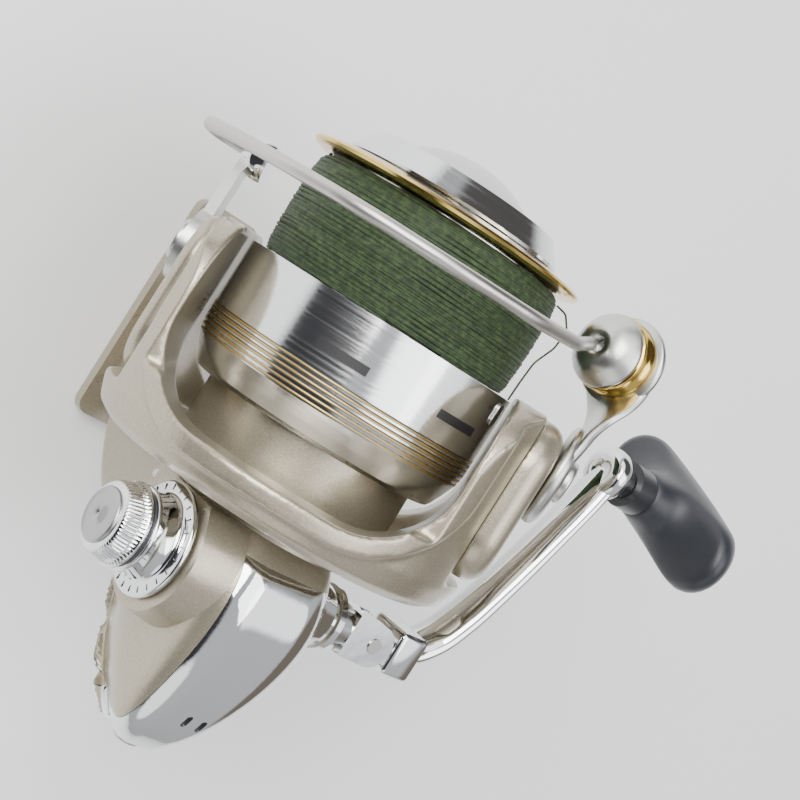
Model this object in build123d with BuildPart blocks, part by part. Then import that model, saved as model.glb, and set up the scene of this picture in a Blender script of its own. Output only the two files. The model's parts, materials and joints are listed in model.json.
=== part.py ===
from build123d import *
from math import cos, sin, radians, sqrt
import os

# A front-drag spinning reel with a left-hand folding handle, foot down and belly up.
# X points to the handle side, Y forward along the spool axis, Z away from the rod foot.
# The origin is the centre of the seat face of the foot.

# Foot and stem
FOOT_LENGTH = 50.0
FOOT_WIDTH = 15.0
FOOT_THICKNESS = 2.6

# Spool axis and the stations along it
AXIS_Z = 65.0
LIP_Y = 44.0
LIP_R = 27.0
SKIRT_TOP_Y = 22.7
SKIRT_BOTTOM_Y = -0.2
SKIRT_R = 26.5
SKIRT_END_R = 24.1
SKIRT_WALL = 1.2
ARBOR_R = 15.0
LINE_R = 24.6
CHAMBER_R = 13.0
FLOOR_Y = 26.0
SHAFT_R = 2.0
RUN = 0.05
GAP = 0.3

# Rotor
ROTOR_ANGLE = 40.0
ROTOR_REAR_Y = -15.5
WINDOW_HALF = 27.0
WINDOW_FLOOR_Y = -8.0
WINDOW_CORNER_R = 14.0
RIM_WIDTH = 3.5
RIM_R = 37.5
BOWL_R = 36.0
ARM_TOP_Y = 24.0
ARM_HALF_WIDTH = 25.0
ARM_FLAT_U = 33.0
COVER_OUT_U = 38.2
LEVER_FLAT_U = 31.0
LEVER_COVER_U = 34.3
DRUM_R = 20.4
WELL_R = 27.4
DRUM_WALL = 1.8
DRUM_FRONT_Y = 11.0
HUB_Y = -0.5
HUB_THICKNESS = 3.0
PIVOT_Y = 16.0
BAIL_PLATE = 2.6
LEVER_PLATE = 2.2

# Gear train
HANDLE_Y = -28.0
HANDLE_Z = 70.5
GEAR_R = 9.8
GEAR_TEETH = 47
PINION_TEETH = 10
PINION_R = 3.0
PINION_TIP_R = 4.0
HUB_R = 3.2
OSC_Y = -35.5
OSC_Z = 57.8
OSC_TIP_R = 10.0
OSC_TEETH = 24
SMALL_TIP_R = 4.4
SMALL_TEETH = 10
CRANK_PIN_R = 7.0
PIN_LEAD = 1.5
OSC_AXLE_END_X = 8.4

# Body shell, side cover, rear cover
COVER_PLANE_X = -10.8
SKIN = 1.0
WALL = 1.2
FLANGE_R = 18.5
NOSE_R = 14.0
NOSE_BORE = 12.05

# Handle
CRANK = 49.5
CRANK_ANGLE = 4.3
HINGE_X = 30.0
KNOB_X = 58.0

os.makedirs("parts", exist_ok=True)

SPOOL_SIDE = Plane(origin=(0, 0, AXIS_Z), x_dir=(1, 0, 0), z_dir=(0, 0, 1))
SPOOL_AXIS = Axis((0, 0, AXIS_Z), (0, 1, 0))
HANDLE_SIDE = Plane(origin=(0, HANDLE_Y, HANDLE_Z), x_dir=(1, 0, 0), z_dir=(0, 0, 1))
HANDLE_AXIS = Axis((0, HANDLE_Y, HANDLE_Z), (1, 0, 0))
U = Vector(cos(radians(ROTOR_ANGLE)), 0, sin(radians(ROTOR_ANGLE)))
W = Vector(-sin(radians(ROTOR_ANGLE)), 0, cos(radians(ROTOR_ANGLE)))
AXIS_POINT = Vector(0, 0, AXIS_Z)


def level(y):
    """Plane across the spool axis: its x runs from rotor arm to rotor arm, its normal forward."""
    return Plane(origin=AXIS_POINT + Vector(0, y, 0), x_dir=U, z_dir=(0, 1, 0))


def window(w):
    """Plane facing the rotor's open side: x from arm to arm, y forward."""
    return Plane(origin=AXIS_POINT + W * w, x_dir=U, z_dir=W)


def arm_side(u):
    """Plane facing out of a rotor arm: y forward, normal along the arm line."""
    return Plane(origin=AXIS_POINT + U * u, x_dir=W * -1, z_dir=U)


def across(x, y=HANDLE_Y, z=HANDLE_Z):
    """Plane across the handle axis: x forward, y up to the belly, normal to the handle side."""
    return Plane(origin=(x, y, z), x_dir=(0, 1, 0), z_dir=(1, 0, 0))


def rotor_point(u, y, w):
    return AXIS_POINT + U * u + W * w + Vector(0, y, 0)


def outline(plane, points):
    """A closed straight-sided profile on a plane."""
    with BuildSketch(plane) as profile:
        with BuildLine():
            Polyline(points, close=True)
        make_face()
    return profile.sketch


def ring(plane, outer, inner, length, sides=0):
    """A tube or washer that starts on the plane; with sides its outside is a polygon."""
    with BuildPart() as tube:
        with BuildSketch(plane):
            if sides:
                RegularPolygon(outer, sides)
            else:
                Circle(outer)
            if inner:
                Circle(inner, mode=Mode.SUBTRACT)
        extrude(amount=length)
    return tube.part


def ball_bearing(plane, outer, inner, width, balls=8):
    """Outer race, inner race and balls, as separate solids."""
    race = (outer - inner) * 0.28
    middle = (outer + inner) / 2
    ball = (outer - inner) / 2 - race - 0.02
    with BuildPart() as bearing:
        with BuildSketch(plane):
            Circle(outer)
            Circle(outer - race, mode=Mode.SUBTRACT)
        with BuildSketch(plane):
            Circle(inner + race)
            Circle(inner, mode=Mode.SUBTRACT)
        extrude(amount=width)
        with BuildSketch(plane.offset(width / 2 - ball * 0.8)):
            with PolarLocations(middle, balls):
                Circle(ball)
        extrude(amount=ball * 1.6)
    return bearing.part


def screw(plane, head_r, head_h, shank_r, shank_l, cross=True):
    """A round-headed screw: its head stands on the plane, its shank goes behind it."""
    with BuildPart() as fastener:
        with BuildSketch(plane):
            Circle(head_r)
        extrude(amount=head_h)
        fillet(fastener.edges().group_by(Axis(plane.origin, plane.z_dir))[-1], head_h * 0.45)
        with BuildSketch(plane):
            Circle(shank_r)
        extrude(amount=-shank_l)
        with BuildSketch(plane.offset(head_h)):
            Rectangle(head_r * 1.25, head_r * 0.26)
            if cross:
                Rectangle(head_r * 0.26, head_r * 1.25)
        extrude(amount=-head_h * 0.5, mode=Mode.SUBTRACT)
    return fastener.part


# ---------------------------------------------------------------- spool

with BuildPart() as spool:
    with BuildSketch(SPOOL_SIDE):
        with BuildLine():
            Polyline(
                (SHAFT_R + RUN, 17.6), (5, 17.6), (5, FLOOR_Y), (ARBOR_R - 2.0, FLOOR_Y),
                (ARBOR_R - 2.0, 20.7), (SKIRT_R - SKIRT_WALL, 20.7), (SKIRT_R - SKIRT_WALL, 6.0),
                (SKIRT_END_R - SKIRT_WALL, 1.0), (SKIRT_END_R - SKIRT_WALL, SKIRT_BOTTOM_Y),
                (SKIRT_END_R - 0.5, SKIRT_BOTTOM_Y), (SKIRT_END_R, 0.5), (25.0, 2.4),
                (26.1, 5.0), (SKIRT_R, 7.5), (SKIRT_R, SKIRT_TOP_Y), (ARBOR_R, SKIRT_TOP_Y),
                (ARBOR_R, 42.6), (20.5, 42.6), (20.5, 45.2), (CHAMBER_R, 45.2),
                (CHAMBER_R, FLOOR_Y + 2.6), (SHAFT_R + RUN, FLOOR_Y + 2.6), close=True)
        make_face()
    revolve(axis=SPOOL_AXIS)
spool.part.label = "spool"
export_step(spool.part, "parts/spool.step")

with BuildPart() as spool_lip:
    revolve(outline(SPOOL_SIDE, [
        (20.55, 42.7), (25.6, 42.9), (26.8, 43.3), (LIP_R, 43.8), (26.7, LIP_Y + 0.2), (21.4, 45.3),
        (20.55, 45.3)]), axis=SPOOL_AXIS)
spool_lip.part.label = "spool_lip"
export_step(spool_lip.part, "parts/spool_lip.step")

with BuildPart() as fishing_line:
    revolve(outline(SPOOL_SIDE, [
        (ARBOR_R + 0.02, 22.8), (LINE_R - 0.8, 22.8), (LINE_R - 0.2, 25), (LINE_R, 33),
        (LINE_R - 0.3, 40), (LINE_R - 1.2, 42.5), (ARBOR_R + 0.02, 42.5)]), axis=SPOOL_AXIS)
fishing_line.part.label = "fishing_line"
export_step(fishing_line.part, "parts/fishing_line.step")

# Line clip on the skirt, just behind its front rim, 30 degrees round from one rotor arm
CLIP_ANGLE = radians(18)
CLIP_U = SKIRT_R * cos(CLIP_ANGLE)
CLIP_W = SKIRT_R * sin(CLIP_ANGLE)
CLIP_NORMAL = U * cos(CLIP_ANGLE) + W * sin(CLIP_ANGLE)
CLIP_PLANE = Plane(origin=rotor_point(CLIP_U, 19.5, CLIP_W), x_dir=(0, 1, 0), z_dir=CLIP_NORMAL)
with BuildPart() as line_clip:
    with BuildSketch(CLIP_PLANE.offset(0.02)):
        SlotOverall(4.4, 2.2)
    extrude(amount=0.35)
line_clip.part.label = "line_clip"
export_step(line_clip.part, "parts/line_clip.step")

# Loose tail of line from the winding, out past the lip's shadow and in to the clip
TAIL_R = 0.18
TAIL_ROUTE = [(24.3, 41.2, 1.5), (26.4, 40.7, 1.7), (28.1, 38.3, 2.2), (27.8, 34.6, 2.9), (26.2, 30.6, 3.6),
              (25.9, 26.4, 4.4), (25.8, 22.85, 4.9)]
TAIL_BENDS = [1.3, 2.4, 3.4, 5.0, 12.0]
with BuildPart() as line_tail:
    with BuildLine():
        tail_path = FilletPolyline([rotor_point(*point) for point in TAIL_ROUTE], radius=TAIL_BENDS)
    with BuildSketch(Plane(origin=tail_path @ 0, z_dir=tail_path % 0)):
        Circle(TAIL_R)
    sweep(path=tail_path)
line_tail.part.label = "line_tail"
export_step(line_tail.part, "parts/line_tail.step")
print("tail length", tail_path.length, "bend radii", TAIL_BENDS)

WASHER_R = CHAMBER_R - 0.3
WASHER_PITCH = 1.0
with BuildPart() as drag_washers:
    for step in (0, 2, 4):
        with BuildSketch(level(FLOOR_Y + 2.7 + step * WASHER_PITCH)):
            Circle(WASHER_R)
            Circle(SHAFT_R + 0.2, mode=Mode.SUBTRACT)
        extrude(amount=0.9)
drag_washers.part.label = "drag_washers"
export_step(drag_washers.part, "parts/drag_washers.step")

with BuildPart() as felt_washers:
    for step in (1, 3):
        with BuildSketch(level(FLOOR_Y + 2.7 + step * WASHER_PITCH)):
            Circle(WASHER_R - 0.4)
            Circle(SHAFT_R + 0.6, mode=Mode.SUBTRACT)
        extrude(amount=0.9)
felt_washers.part.label = "felt_washers"
export_step(felt_washers.part, "parts/felt_washers.step")

# The washer stack is held by a wire ring with one gap
with BuildPart() as drag_retainer:
    with BuildSketch(level(FLOOR_Y + 7.9)):
        Circle(CHAMBER_R - 0.05)
        Circle(CHAMBER_R - 1.1, mode=Mode.SUBTRACT)
        with Locations((CHAMBER_R, 0)):
            Rectangle(6, 3, mode=Mode.SUBTRACT)
    extrude(amount=0.9)
drag_retainer.part.label = "drag_retainer"
export_step(drag_retainer.part, "parts/drag_retainer.step")

# ---------------------------------------------------------------- drag knob

KNOB_BASE_Y = 45.6
KNOB_TOP_Y = 50.2
DOME_R = 13.3
with BuildPart() as drag_knob:
    revolve(outline(SPOOL_SIDE, [
        (3.6, 37.0), (8.0, 37.0), (10.5, 38.5), (10.5, 47.0), (19.6, 47.0), (19.6, KNOB_BASE_Y),
        (20.9, KNOB_BASE_Y), (21.0, KNOB_BASE_Y + 0.5), (18.1, KNOB_TOP_Y), (DOME_R + 0.3, KNOB_TOP_Y),
        (DOME_R + 0.02, KNOB_TOP_Y - 0.6), (5.0, KNOB_TOP_Y - 0.6), (5.0, 43.2), (3.6, 43.2)]),
        axis=SPOOL_AXIS)
drag_knob.part.label = "drag_knob"
export_step(drag_knob.part, "parts/drag_knob.step")

DOME_RISE = 4.6
DOME_SPHERE_R = (DOME_R ** 2 + DOME_RISE ** 2) / (2 * DOME_RISE)
DOME_MID_Y = KNOB_TOP_Y + DOME_RISE - DOME_SPHERE_R + sqrt(DOME_SPHERE_R ** 2 - (DOME_R / 2) ** 2)
with BuildPart() as drag_dome:
    with BuildSketch(SPOOL_SIDE):
        with BuildLine():
            dome_arc = ThreePointArc((DOME_R, KNOB_TOP_Y), (DOME_R / 2, DOME_MID_Y),
                                     (0, KNOB_TOP_Y + DOME_RISE))
            Polyline(dome_arc @ 1, (0, KNOB_TOP_Y + DOME_RISE - 1.4), (4, KNOB_TOP_Y + 1.6),
                     (DOME_R - 0.8, KNOB_TOP_Y - 0.55), (DOME_R, KNOB_TOP_Y - 0.55), dome_arc @ 0)
        make_face()
    revolve(axis=SPOOL_AXIS)
drag_dome.part.label = "drag_dome"
export_step(drag_dome.part, "parts/drag_dome.step")

with BuildPart() as drag_nut:
    with BuildSketch(level(43.3)):
        RegularPolygon(4.6, 6)
        Circle(SHAFT_R + RUN, mode=Mode.SUBTRACT)
    extrude(amount=3.6)
drag_nut.part.label = "drag_nut"
export_step(drag_nut.part, "parts/drag_nut.step")

with BuildPart() as drag_spring:
    for turn in range(4):
        with BuildSketch(SPOOL_SIDE):
            with Locations((2.95, 38.0 + turn * 1.45)):
                Circle(0.45)
        revolve(axis=SPOOL_AXIS)
drag_spring.part.label = "drag_spring"
export_step(drag_spring.part, "parts/drag_spring.step")

# ---------------------------------------------------------------- main shaft

with BuildPart() as main_shaft:
    with BuildSketch(level(-41.0)):
        Circle(SHAFT_R)
    extrude(amount=89.0)
    chamfer(main_shaft.edges().filter_by(GeomType.CIRCLE), 0.3)
main_shaft.part.label = "main_shaft"
export_step(main_shaft.part, "parts/main_shaft.step")

# Clicker gear and spool seat washer, carried by the shaft behind the spool
with BuildPart() as click_gear:
    with BuildSketch(level(15.8)):
        Circle(7.2)
        with PolarLocations(7.2, 24):
            Circle(0.55)
        Circle(SHAFT_R + 0.02, mode=Mode.SUBTRACT)
    extrude(amount=1.5)
click_gear.part.label = "click_gear"
export_step(click_gear.part, "parts/click_gear.step")

SLIDER_Y = OSC_Y + PIN_LEAD
GUIDE_Z = 52.0
GUIDE_R = 1.0
# Crosswind slider: a clamp on the shaft's tail and a slotted plate beside it
with BuildPart() as crosswind_slider:
    with BuildSketch(Plane(origin=(-3.0, SLIDER_Y, 0), x_dir=(0, 1, 0), z_dir=(1, 0, 0))):
        with Locations((0, 64.0)):
            Rectangle(8.0, 5.6)
    extrude(amount=4.0)
    with BuildSketch(Plane(origin=(1.0, SLIDER_Y, 0), x_dir=(0, 1, 0), z_dir=(1, 0, 0))):
        with Locations((0, OSC_Z + 0.3)):
            Rectangle(8.0, 17.4)
        with Locations((0, OSC_Z)):
            SlotOverall(16.6, 2.6, rotation=90, mode=Mode.SUBTRACT)
    extrude(amount=1.6)
    with BuildSketch(level(SLIDER_Y - 5)):
        Circle(SHAFT_R + 0.02)
    extrude(amount=10, mode=Mode.SUBTRACT)
    with BuildSketch(Plane(origin=(-0.6, SLIDER_Y - 4, GUIDE_Z), x_dir=(1, 0, 0), z_dir=(0, 1, 0))):
        Circle(1.75)
        Circle(GUIDE_R + 0.06, mode=Mode.SUBTRACT)
    extrude(amount=8)
crosswind_slider.part.label = "crosswind_slider"
export_step(crosswind_slider.part, "parts/crosswind_slider.step")

# ---------------------------------------------------------------- oscillating gear

with BuildPart() as oscillating_gear:
    with BuildSketch(across(3.4, OSC_Y, OSC_Z)):
        Circle(OSC_TIP_R - 0.9)
        with PolarLocations(OSC_TIP_R - 0.75, OSC_TEETH):
            Rectangle(1.5, 0.9)
    extrude(amount=1.6)
    with BuildSketch(across(2.8, OSC_Y, OSC_Z)):
        with Locations((PIN_LEAD, sqrt(CRANK_PIN_R ** 2 - PIN_LEAD ** 2))):
            Circle(1.1)
    extrude(amount=0.7)
    with BuildSketch(across(4.9, OSC_Y, OSC_Z)):
        Circle(1.5)
    extrude(amount=OSC_AXLE_END_X - 4.9)
oscillating_gear.part.label = "oscillating_gear"
export_step(oscillating_gear.part, "parts/oscillating_gear.step")

# ---------------------------------------------------------------- pinion and rotor hub pieces

with BuildPart() as pinion_gear:
    with BuildSketch(level(-24.0)):
        Circle(PINION_R)
        with PolarLocations(PINION_TIP_R - 0.7, PINION_TEETH):
            Rectangle(1.4, 1.0)
        Circle(SHAFT_R + RUN, mode=Mode.SUBTRACT)
    extrude(amount=4.5)
    with BuildSketch(level(-19.5)):
        Circle(PINION_R)
        Circle(SHAFT_R + RUN, mode=Mode.SUBTRACT)
    extrude(amount=25.2)
pinion_gear.part.label = "pinion_gear"
export_step(pinion_gear.part, "parts/pinion_gear.step")

clutch_sleeve = ring(level(-11.6), 5.9, PINION_R + 0.02, 9.0)
clutch_sleeve.label = "clutch_sleeve"
export_step(clutch_sleeve, "parts/clutch_sleeve.step")

rotor_nut = ring(level(HUB_Y + HUB_THICKNESS + 0.02), 6.0, PINION_R + 0.02, 3.0, sides=6)
rotor_nut.label = "rotor_nut"
export_step(rotor_nut, "parts/rotor_nut.step")

with BuildPart() as nut_lock_plate:
    with BuildSketch(level(HUB_Y + HUB_THICKNESS + 0.02)):
        Circle(8.2)
        with Locations((9.5, 0)):
            SlotOverall(7.0, 4.4)
        RegularPolygon(6.15, 6, mode=Mode.SUBTRACT)
        with Locations((10.6, 0)):
            Circle(1.1, mode=Mode.SUBTRACT)
    extrude(amount=0.8)
nut_lock_plate.part.label = "nut_lock_plate"
export_step(nut_lock_plate.part, "parts/nut_lock_plate.step")

LOCK_SCREW_PLANE = Plane(origin=rotor_point(10.6, HUB_Y + HUB_THICKNESS + 0.85, 0), x_dir=U, z_dir=(0, 1, 0))
lock_screw = screw(LOCK_SCREW_PLANE, 1.8, 1.0, 0.9, 3.0)
lock_screw.label = "lock_screw"
export_step(lock_screw, "parts/lock_screw.step")

# ---------------------------------------------------------------- rotor


def u_shape(half, floor, corner):
    """The rotor window's outline: open in front, with a round-cornered floor."""
    with BuildSketch(window(0)) as shape:
        with BuildLine():
            FilletPolyline((-half, 40), (-half, floor), (half, floor), (half, 40), radius=corner)
            Line((half, 40), (-half, 40))
        make_face()
    return shape.sketch


with BuildPart() as rim:
    extrude(u_shape(WINDOW_HALF + RIM_WIDTH, WINDOW_FLOOR_Y - RIM_WIDTH, WINDOW_CORNER_R + RIM_WIDTH),
            amount=45, both=True)
    with BuildSketch(level(ROTOR_REAR_Y)):
        Circle(RIM_R)
    extrude(amount=ARM_TOP_Y - ROTOR_REAR_Y, mode=Mode.INTERSECT)

with BuildPart() as rotor:
    # solid of revolution, cut by the arm outline seen from the side of an arm
    revolve(outline(SPOOL_SIDE, [
        (0, ROTOR_REAR_Y), (32.0, ROTOR_REAR_Y), (34.6, -13.8), (BOWL_R, -10.0), (BOWL_R, ARM_TOP_Y),
        (0, ARM_TOP_Y)]), axis=SPOOL_AXIS)
    # the raised rim that runs round the window
    add(rim.part)
    extrude(u_shape(WINDOW_HALF, WINDOW_FLOOR_Y, WINDOW_CORNER_R), amount=45, both=True,
            mode=Mode.SUBTRACT)
    with BuildSketch(arm_side(0)):
        with Locations((0, -10)):
            Rectangle(2 * RIM_R + 2, 14)
        with Locations((0, ARM_TOP_Y - 25)):
            RectangleRounded(2 * ARM_HALF_WIDTH, 50, 15)
    extrude(amount=45, both=True, mode=Mode.INTERSECT)
    # flats that carry the arm covers, and the pockets for the bail spring behind them
    for side, flat, pocket in ((1, ARM_FLAT_U, 4.0), (-1, LEVER_FLAT_U, 2.7)):
        with BuildSketch(arm_side(side * flat)):
            with Locations((0, 8)):
                Rectangle(60, 34)
        extrude(amount=side * 10, mode=Mode.SUBTRACT)
        with BuildSketch(arm_side(side * flat)):
            with Locations((0, 9)):
                RectangleRounded(20, 20, 5)
        extrude(amount=-side * pocket, mode=Mode.SUBTRACT)
    # well for the spool's skirt, hollow back, drum and hub
    revolve(outline(SPOOL_SIDE, [
        (DRUM_R, -10.2), (WELL_R, -10.2), (WELL_R, 30), (DRUM_R, 30)]), axis=SPOOL_AXIS,
        mode=Mode.SUBTRACT)
    revolve(outline(SPOOL_SIDE, [
        (0, -16), (30.5, -16), (32.0, -14), (32.0, -12.4), (0, -12.4)]), axis=SPOOL_AXIS,
        mode=Mode.SUBTRACT)
    with BuildSketch(level(-13)):
        Circle(DRUM_R - DRUM_WALL)
    extrude(amount=7, mode=Mode.SUBTRACT)
    with BuildSketch(level(-12)):
        Circle(DRUM_R)
        Circle(DRUM_R - DRUM_WALL, mode=Mode.SUBTRACT)
    extrude(amount=DRUM_FRONT_Y + 12)
    with BuildSketch(level(HUB_Y)):
        Circle(DRUM_R - DRUM_WALL / 2)
        Circle(PINION_R + 0.02, mode=Mode.SUBTRACT)
        with Locations((10.6, 0)):
            Circle(0.95, mode=Mode.SUBTRACT)
    extrude(amount=HUB_THICKNESS)
rotor.part.label = "rotor"
export_step(rotor.part, "parts/rotor.step")

# Arm covers close the pockets from outside; each bail pivot screw passes through one
for side, name, flat, outside in ((1, "arm_cover_bail_side", ARM_FLAT_U, COVER_OUT_U),
                                  (-1, "arm_cover_lever_side", LEVER_FLAT_U, LEVER_COVER_U)):
    thickness = outside - flat - RUN
    with BuildPart() as arm_cover:
        with BuildSketch(arm_side(side * (flat + RUN))):
            with Locations((0, 8.0)):
                RectangleRounded(28, 31, 9)
        extrude(amount=side * thickness)
        outer_edges = arm_cover.edges().group_by(Axis(AXIS_POINT, U * side))[-1]
        fillet(outer_edges, 0.7 * thickness)
        with BuildSketch(arm_side(side * flat)):
            with Locations((0, PIVOT_Y)):
                Circle(2.02)
        extrude(amount=side * 10, mode=Mode.SUBTRACT)
    arm_cover.part.label = name
    export_step(arm_cover.part, f"parts/{name}.step")

PLATE_IN_U = COVER_OUT_U + GAP
PLATE_OUT_U = PLATE_IN_U + BAIL_PLATE
LEVER_IN_U = LEVER_COVER_U + GAP
LEVER_OUT_U = LEVER_IN_U + LEVER_PLATE
with BuildPart() as bail_pivot_screws:
    for side, plate_out, shank in ((1, PLATE_OUT_U, 9.5), (-1, LEVER_OUT_U, 8.3)):
        pivot_plane = Plane(origin=rotor_point(side * (plate_out + 0.15), PIVOT_Y, 0), x_dir=(0, 1, 0),
                            z_dir=U * side)
        add(screw(pivot_plane, 4.0, 1.5, 2.0, shank, cross=False))
bail_pivot_screws.part.label = "bail_pivot_screws"
export_step(bail_pivot_screws.part, "parts/bail_pivot_screws.step")

# Bail trip lever in the pocket of the bail arm, and the bail spring in the other pocket
TRIP_Y = 9.0
with BuildPart() as trip_lever:
    with BuildSketch(arm_side(30.2)):
        with Locations((0, TRIP_Y)):
            SlotOverall(11.0, 3.0, rotation=90)
    extrude(amount=1.4)
    with BuildSketch(arm_side(31.6)):
        with Locations((0, TRIP_Y - 3.5)):
            Circle(1.0)
    extrude(amount=1.0)
    with BuildSketch(arm_side(29.1)):
        with Locations((0, TRIP_Y)):
            Circle(1.1)
    extrude(amount=1.1)
trip_lever.part.label = "trip_lever"
export_step(trip_lever.part, "parts/trip_lever.step")

SPRING_U = -29.65
with BuildPart() as bail_spring:
    for turn in range(9):
        with BuildSketch(Plane(origin=rotor_point(SPRING_U, 0.6 + turn * 1.1, 4.0), x_dir=U, z_dir=W)):
            with Locations((0.9, 0)):
                Circle(0.28)
        revolve(axis=Axis(rotor_point(SPRING_U, 0, 4.0), (0, 1, 0)))
bail_spring.part.label = "bail_spring"
export_step(bail_spring.part, "parts/bail_spring.step")

# ---------------------------------------------------------------- bail

ROLLER_CENTRE = rotor_point(37.5, 39.3, -1.0)
ROLLER_TILT = 38.0
ROLLER_DIR = U * sin(radians(ROLLER_TILT)) - W * cos(radians(ROLLER_TILT))
ROLLER_HALF = 2.2


def roller_plane(s):
    """Plane across the line roller's axis, s along it from the roller's middle."""
    return Plane(origin=ROLLER_CENTRE + ROLLER_DIR * s, x_dir=(0, 1, 0), z_dir=ROLLER_DIR)


with BuildPart() as bail_arm:
    with BuildSketch(arm_side(PLATE_IN_U)):
        with Locations((0, PIVOT_Y)):
            Circle(9.5)
    extrude(amount=BAIL_PLATE)
    fillet(bail_arm.edges().group_by(Axis(AXIS_POINT, U))[-1], 0.9)
    # blade from the root to the roller seat, turning from the arm's plane to the roller's
    BLADE_U = PLATE_IN_U + BAIL_PLATE / 2
    with BuildSketch(Plane(origin=rotor_point(BLADE_U, PIVOT_Y + 1, 0), x_dir=U, z_dir=(0, 1, 0))):
        RectangleRounded(BAIL_PLATE - 0.1, 17.5, 1.1)
    with BuildSketch(Plane(origin=rotor_point(BLADE_U + 0.2, PIVOT_Y + 11, -0.6), x_dir=U, z_dir=(0, 1, 0))):
        RectangleRounded(2.3, 12.5, 1.0)
    with BuildSketch(Plane(origin=ROLLER_CENTRE + ROLLER_DIR * (ROLLER_HALF + 1.6) + Vector(0, -3, 0),
                           x_dir=ROLLER_DIR, z_dir=(0, 1, 0))):
        RectangleRounded(2.1, 10.6, 1.0)
    loft()
    with BuildSketch(roller_plane(ROLLER_HALF + 0.35)):
        Circle(5.9)
    extrude(amount=2.2)
    with BuildSketch(arm_side(PLATE_IN_U - 1)):
        with Locations((0, PIVOT_Y)):
            Circle(2.06)
    extrude(amount=5, mode=Mode.SUBTRACT)
    with BuildSketch(roller_plane(0)):
        Circle(1.52)
    extrude(amount=8, mode=Mode.SUBTRACT)
    with BuildSketch(roller_plane(-ROLLER_HALF)):
        Circle(6.0)
    extrude(amount=2 * ROLLER_HALF + 0.3, mode=Mode.SUBTRACT)
bail_arm.part.label = "bail_arm"
export_step(bail_arm.part, "parts/bail_arm.step")

with BuildPart() as roller_support:
    with BuildSketch(roller_plane(-ROLLER_HALF - 0.25)):
        Circle(5.7)
    with BuildSketch(roller_plane(-ROLLER_HALF - 2.2)):
        Circle(5.0)
    with BuildSketch(roller_plane(-ROLLER_HALF - 3.2)):
        Circle(3.2)
    loft()
    with BuildSketch(roller_plane(-4.6)):
        Circle(1.52)
    extrude(amount=5, mode=Mode.SUBTRACT)
roller_support.part.label = "roller_support"
export_step(roller_support.part, "parts/roller_support.step")

with BuildPart() as line_roller:
    roller_axis = Axis(ROLLER_CENTRE, ROLLER_DIR)
    with BuildSketch(Plane(origin=ROLLER_CENTRE, x_dir=(0, 1, 0), z_dir=ROLLER_DIR.cross(Vector(0, 1, 0)))):
        with BuildLine():
            Polyline((3.06, -ROLLER_HALF), (5.3, -ROLLER_HALF), (5.3, -1.7), (4.3, -0.4), (4.3, 0.5),
                     (5.3, 1.8), (5.3, ROLLER_HALF), (3.06, ROLLER_HALF), close=True)
        make_face()
    revolve(axis=roller_axis)
line_roller.part.label = "line_roller"
export_step(line_roller.part, "parts/line_roller.step")

roller_bearing = ball_bearing(roller_plane(-ROLLER_HALF), 3.0, 1.56, 2 * ROLLER_HALF, balls=6)
roller_bearing.label = "roller_bearing"
export_step(roller_bearing, "parts/roller_bearing.step")

roller_screw = screw(roller_plane(ROLLER_HALF + 2.6), 2.7, 1.2, 1.5, 8.8, cross=False)
roller_screw.label = "roller_screw"
export_step(roller_screw, "parts/roller_screw.step")

CUP_Y = 35.6
CUP_W = -1.5
CUP_OUT_U = -36.6
with BuildPart() as wire_cup:
    for u, radius in ((CUP_OUT_U, 2.2), (-35.0, 3.7), (-31.5, 3.9)):
        with BuildSketch(Plane(origin=rotor_point(u, CUP_Y, CUP_W), x_dir=W, z_dir=U)):
            Circle(radius)
    loft()
wire_cup.part.label = "wire_cup"
export_step(wire_cup.part, "parts/wire_cup.step")

with BuildPart() as bail_lever:
    with BuildSketch(arm_side(-LEVER_OUT_U)):
        with Locations((0, PIVOT_Y)):
            Circle(7.0)
    extrude(amount=LEVER_PLATE)
    with BuildSketch(window(CUP_W - 3.4)):
        with BuildLine():
            Polyline((-LEVER_IN_U - 0.1, PIVOT_Y + 2), (-LEVER_OUT_U + 0.1, PIVOT_Y + 2),
                     (-LEVER_OUT_U + 0.1, PIVOT_Y + 9), (-36.0, CUP_Y - 1.6), (-33.8, CUP_Y - 1.6),
                     (-LEVER_IN_U - 0.1, PIVOT_Y + 15.4), close=True)
        make_face()
    extrude(amount=6.8)
    with BuildSketch(arm_side(-LEVER_OUT_U - 1)):
        with Locations((0, PIVOT_Y)):
            Circle(2.05)
    extrude(amount=5, mode=Mode.SUBTRACT)
    add(wire_cup.part, mode=Mode.SUBTRACT)
bail_lever.part.label = "bail_lever"
export_step(bail_lever.part, "parts/bail_lever.step")

WIRE_R = 1.2
WIRE_ROUTE = [
    (32.4, 38.4, 6.4), (30.2, 36.6, 18.0), (22.5, 35.6, 31.5), (8.5, 35.2, 41.0), (-9.0, 35.2, 42.2),
    (-24.5, 35.1, 35.5), (-35.4, 35.2, 24.5), (-41.6, 35.4, 12.5), (-42.8, CUP_Y, CUP_W),
    (CUP_OUT_U - 0.02, CUP_Y, CUP_W)]
WIRE_BENDS = [9.0, 14.0, 22.0, 22.0, 22.0, 20.0, 12.0, 3.6]
with BuildPart() as bail_wire:
    with BuildLine():
        wire_path = FilletPolyline([rotor_point(*point) for point in WIRE_ROUTE], radius=WIRE_BENDS)
    with BuildSketch(Plane(origin=wire_path @ 0, z_dir=wire_path % 0)):
        Circle(WIRE_R)
    sweep(path=wire_path)
bail_wire.part.label = "bail_wire"
export_step(bail_wire.part, "parts/bail_wire.step")

# ---------------------------------------------------------------- gear case

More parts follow.
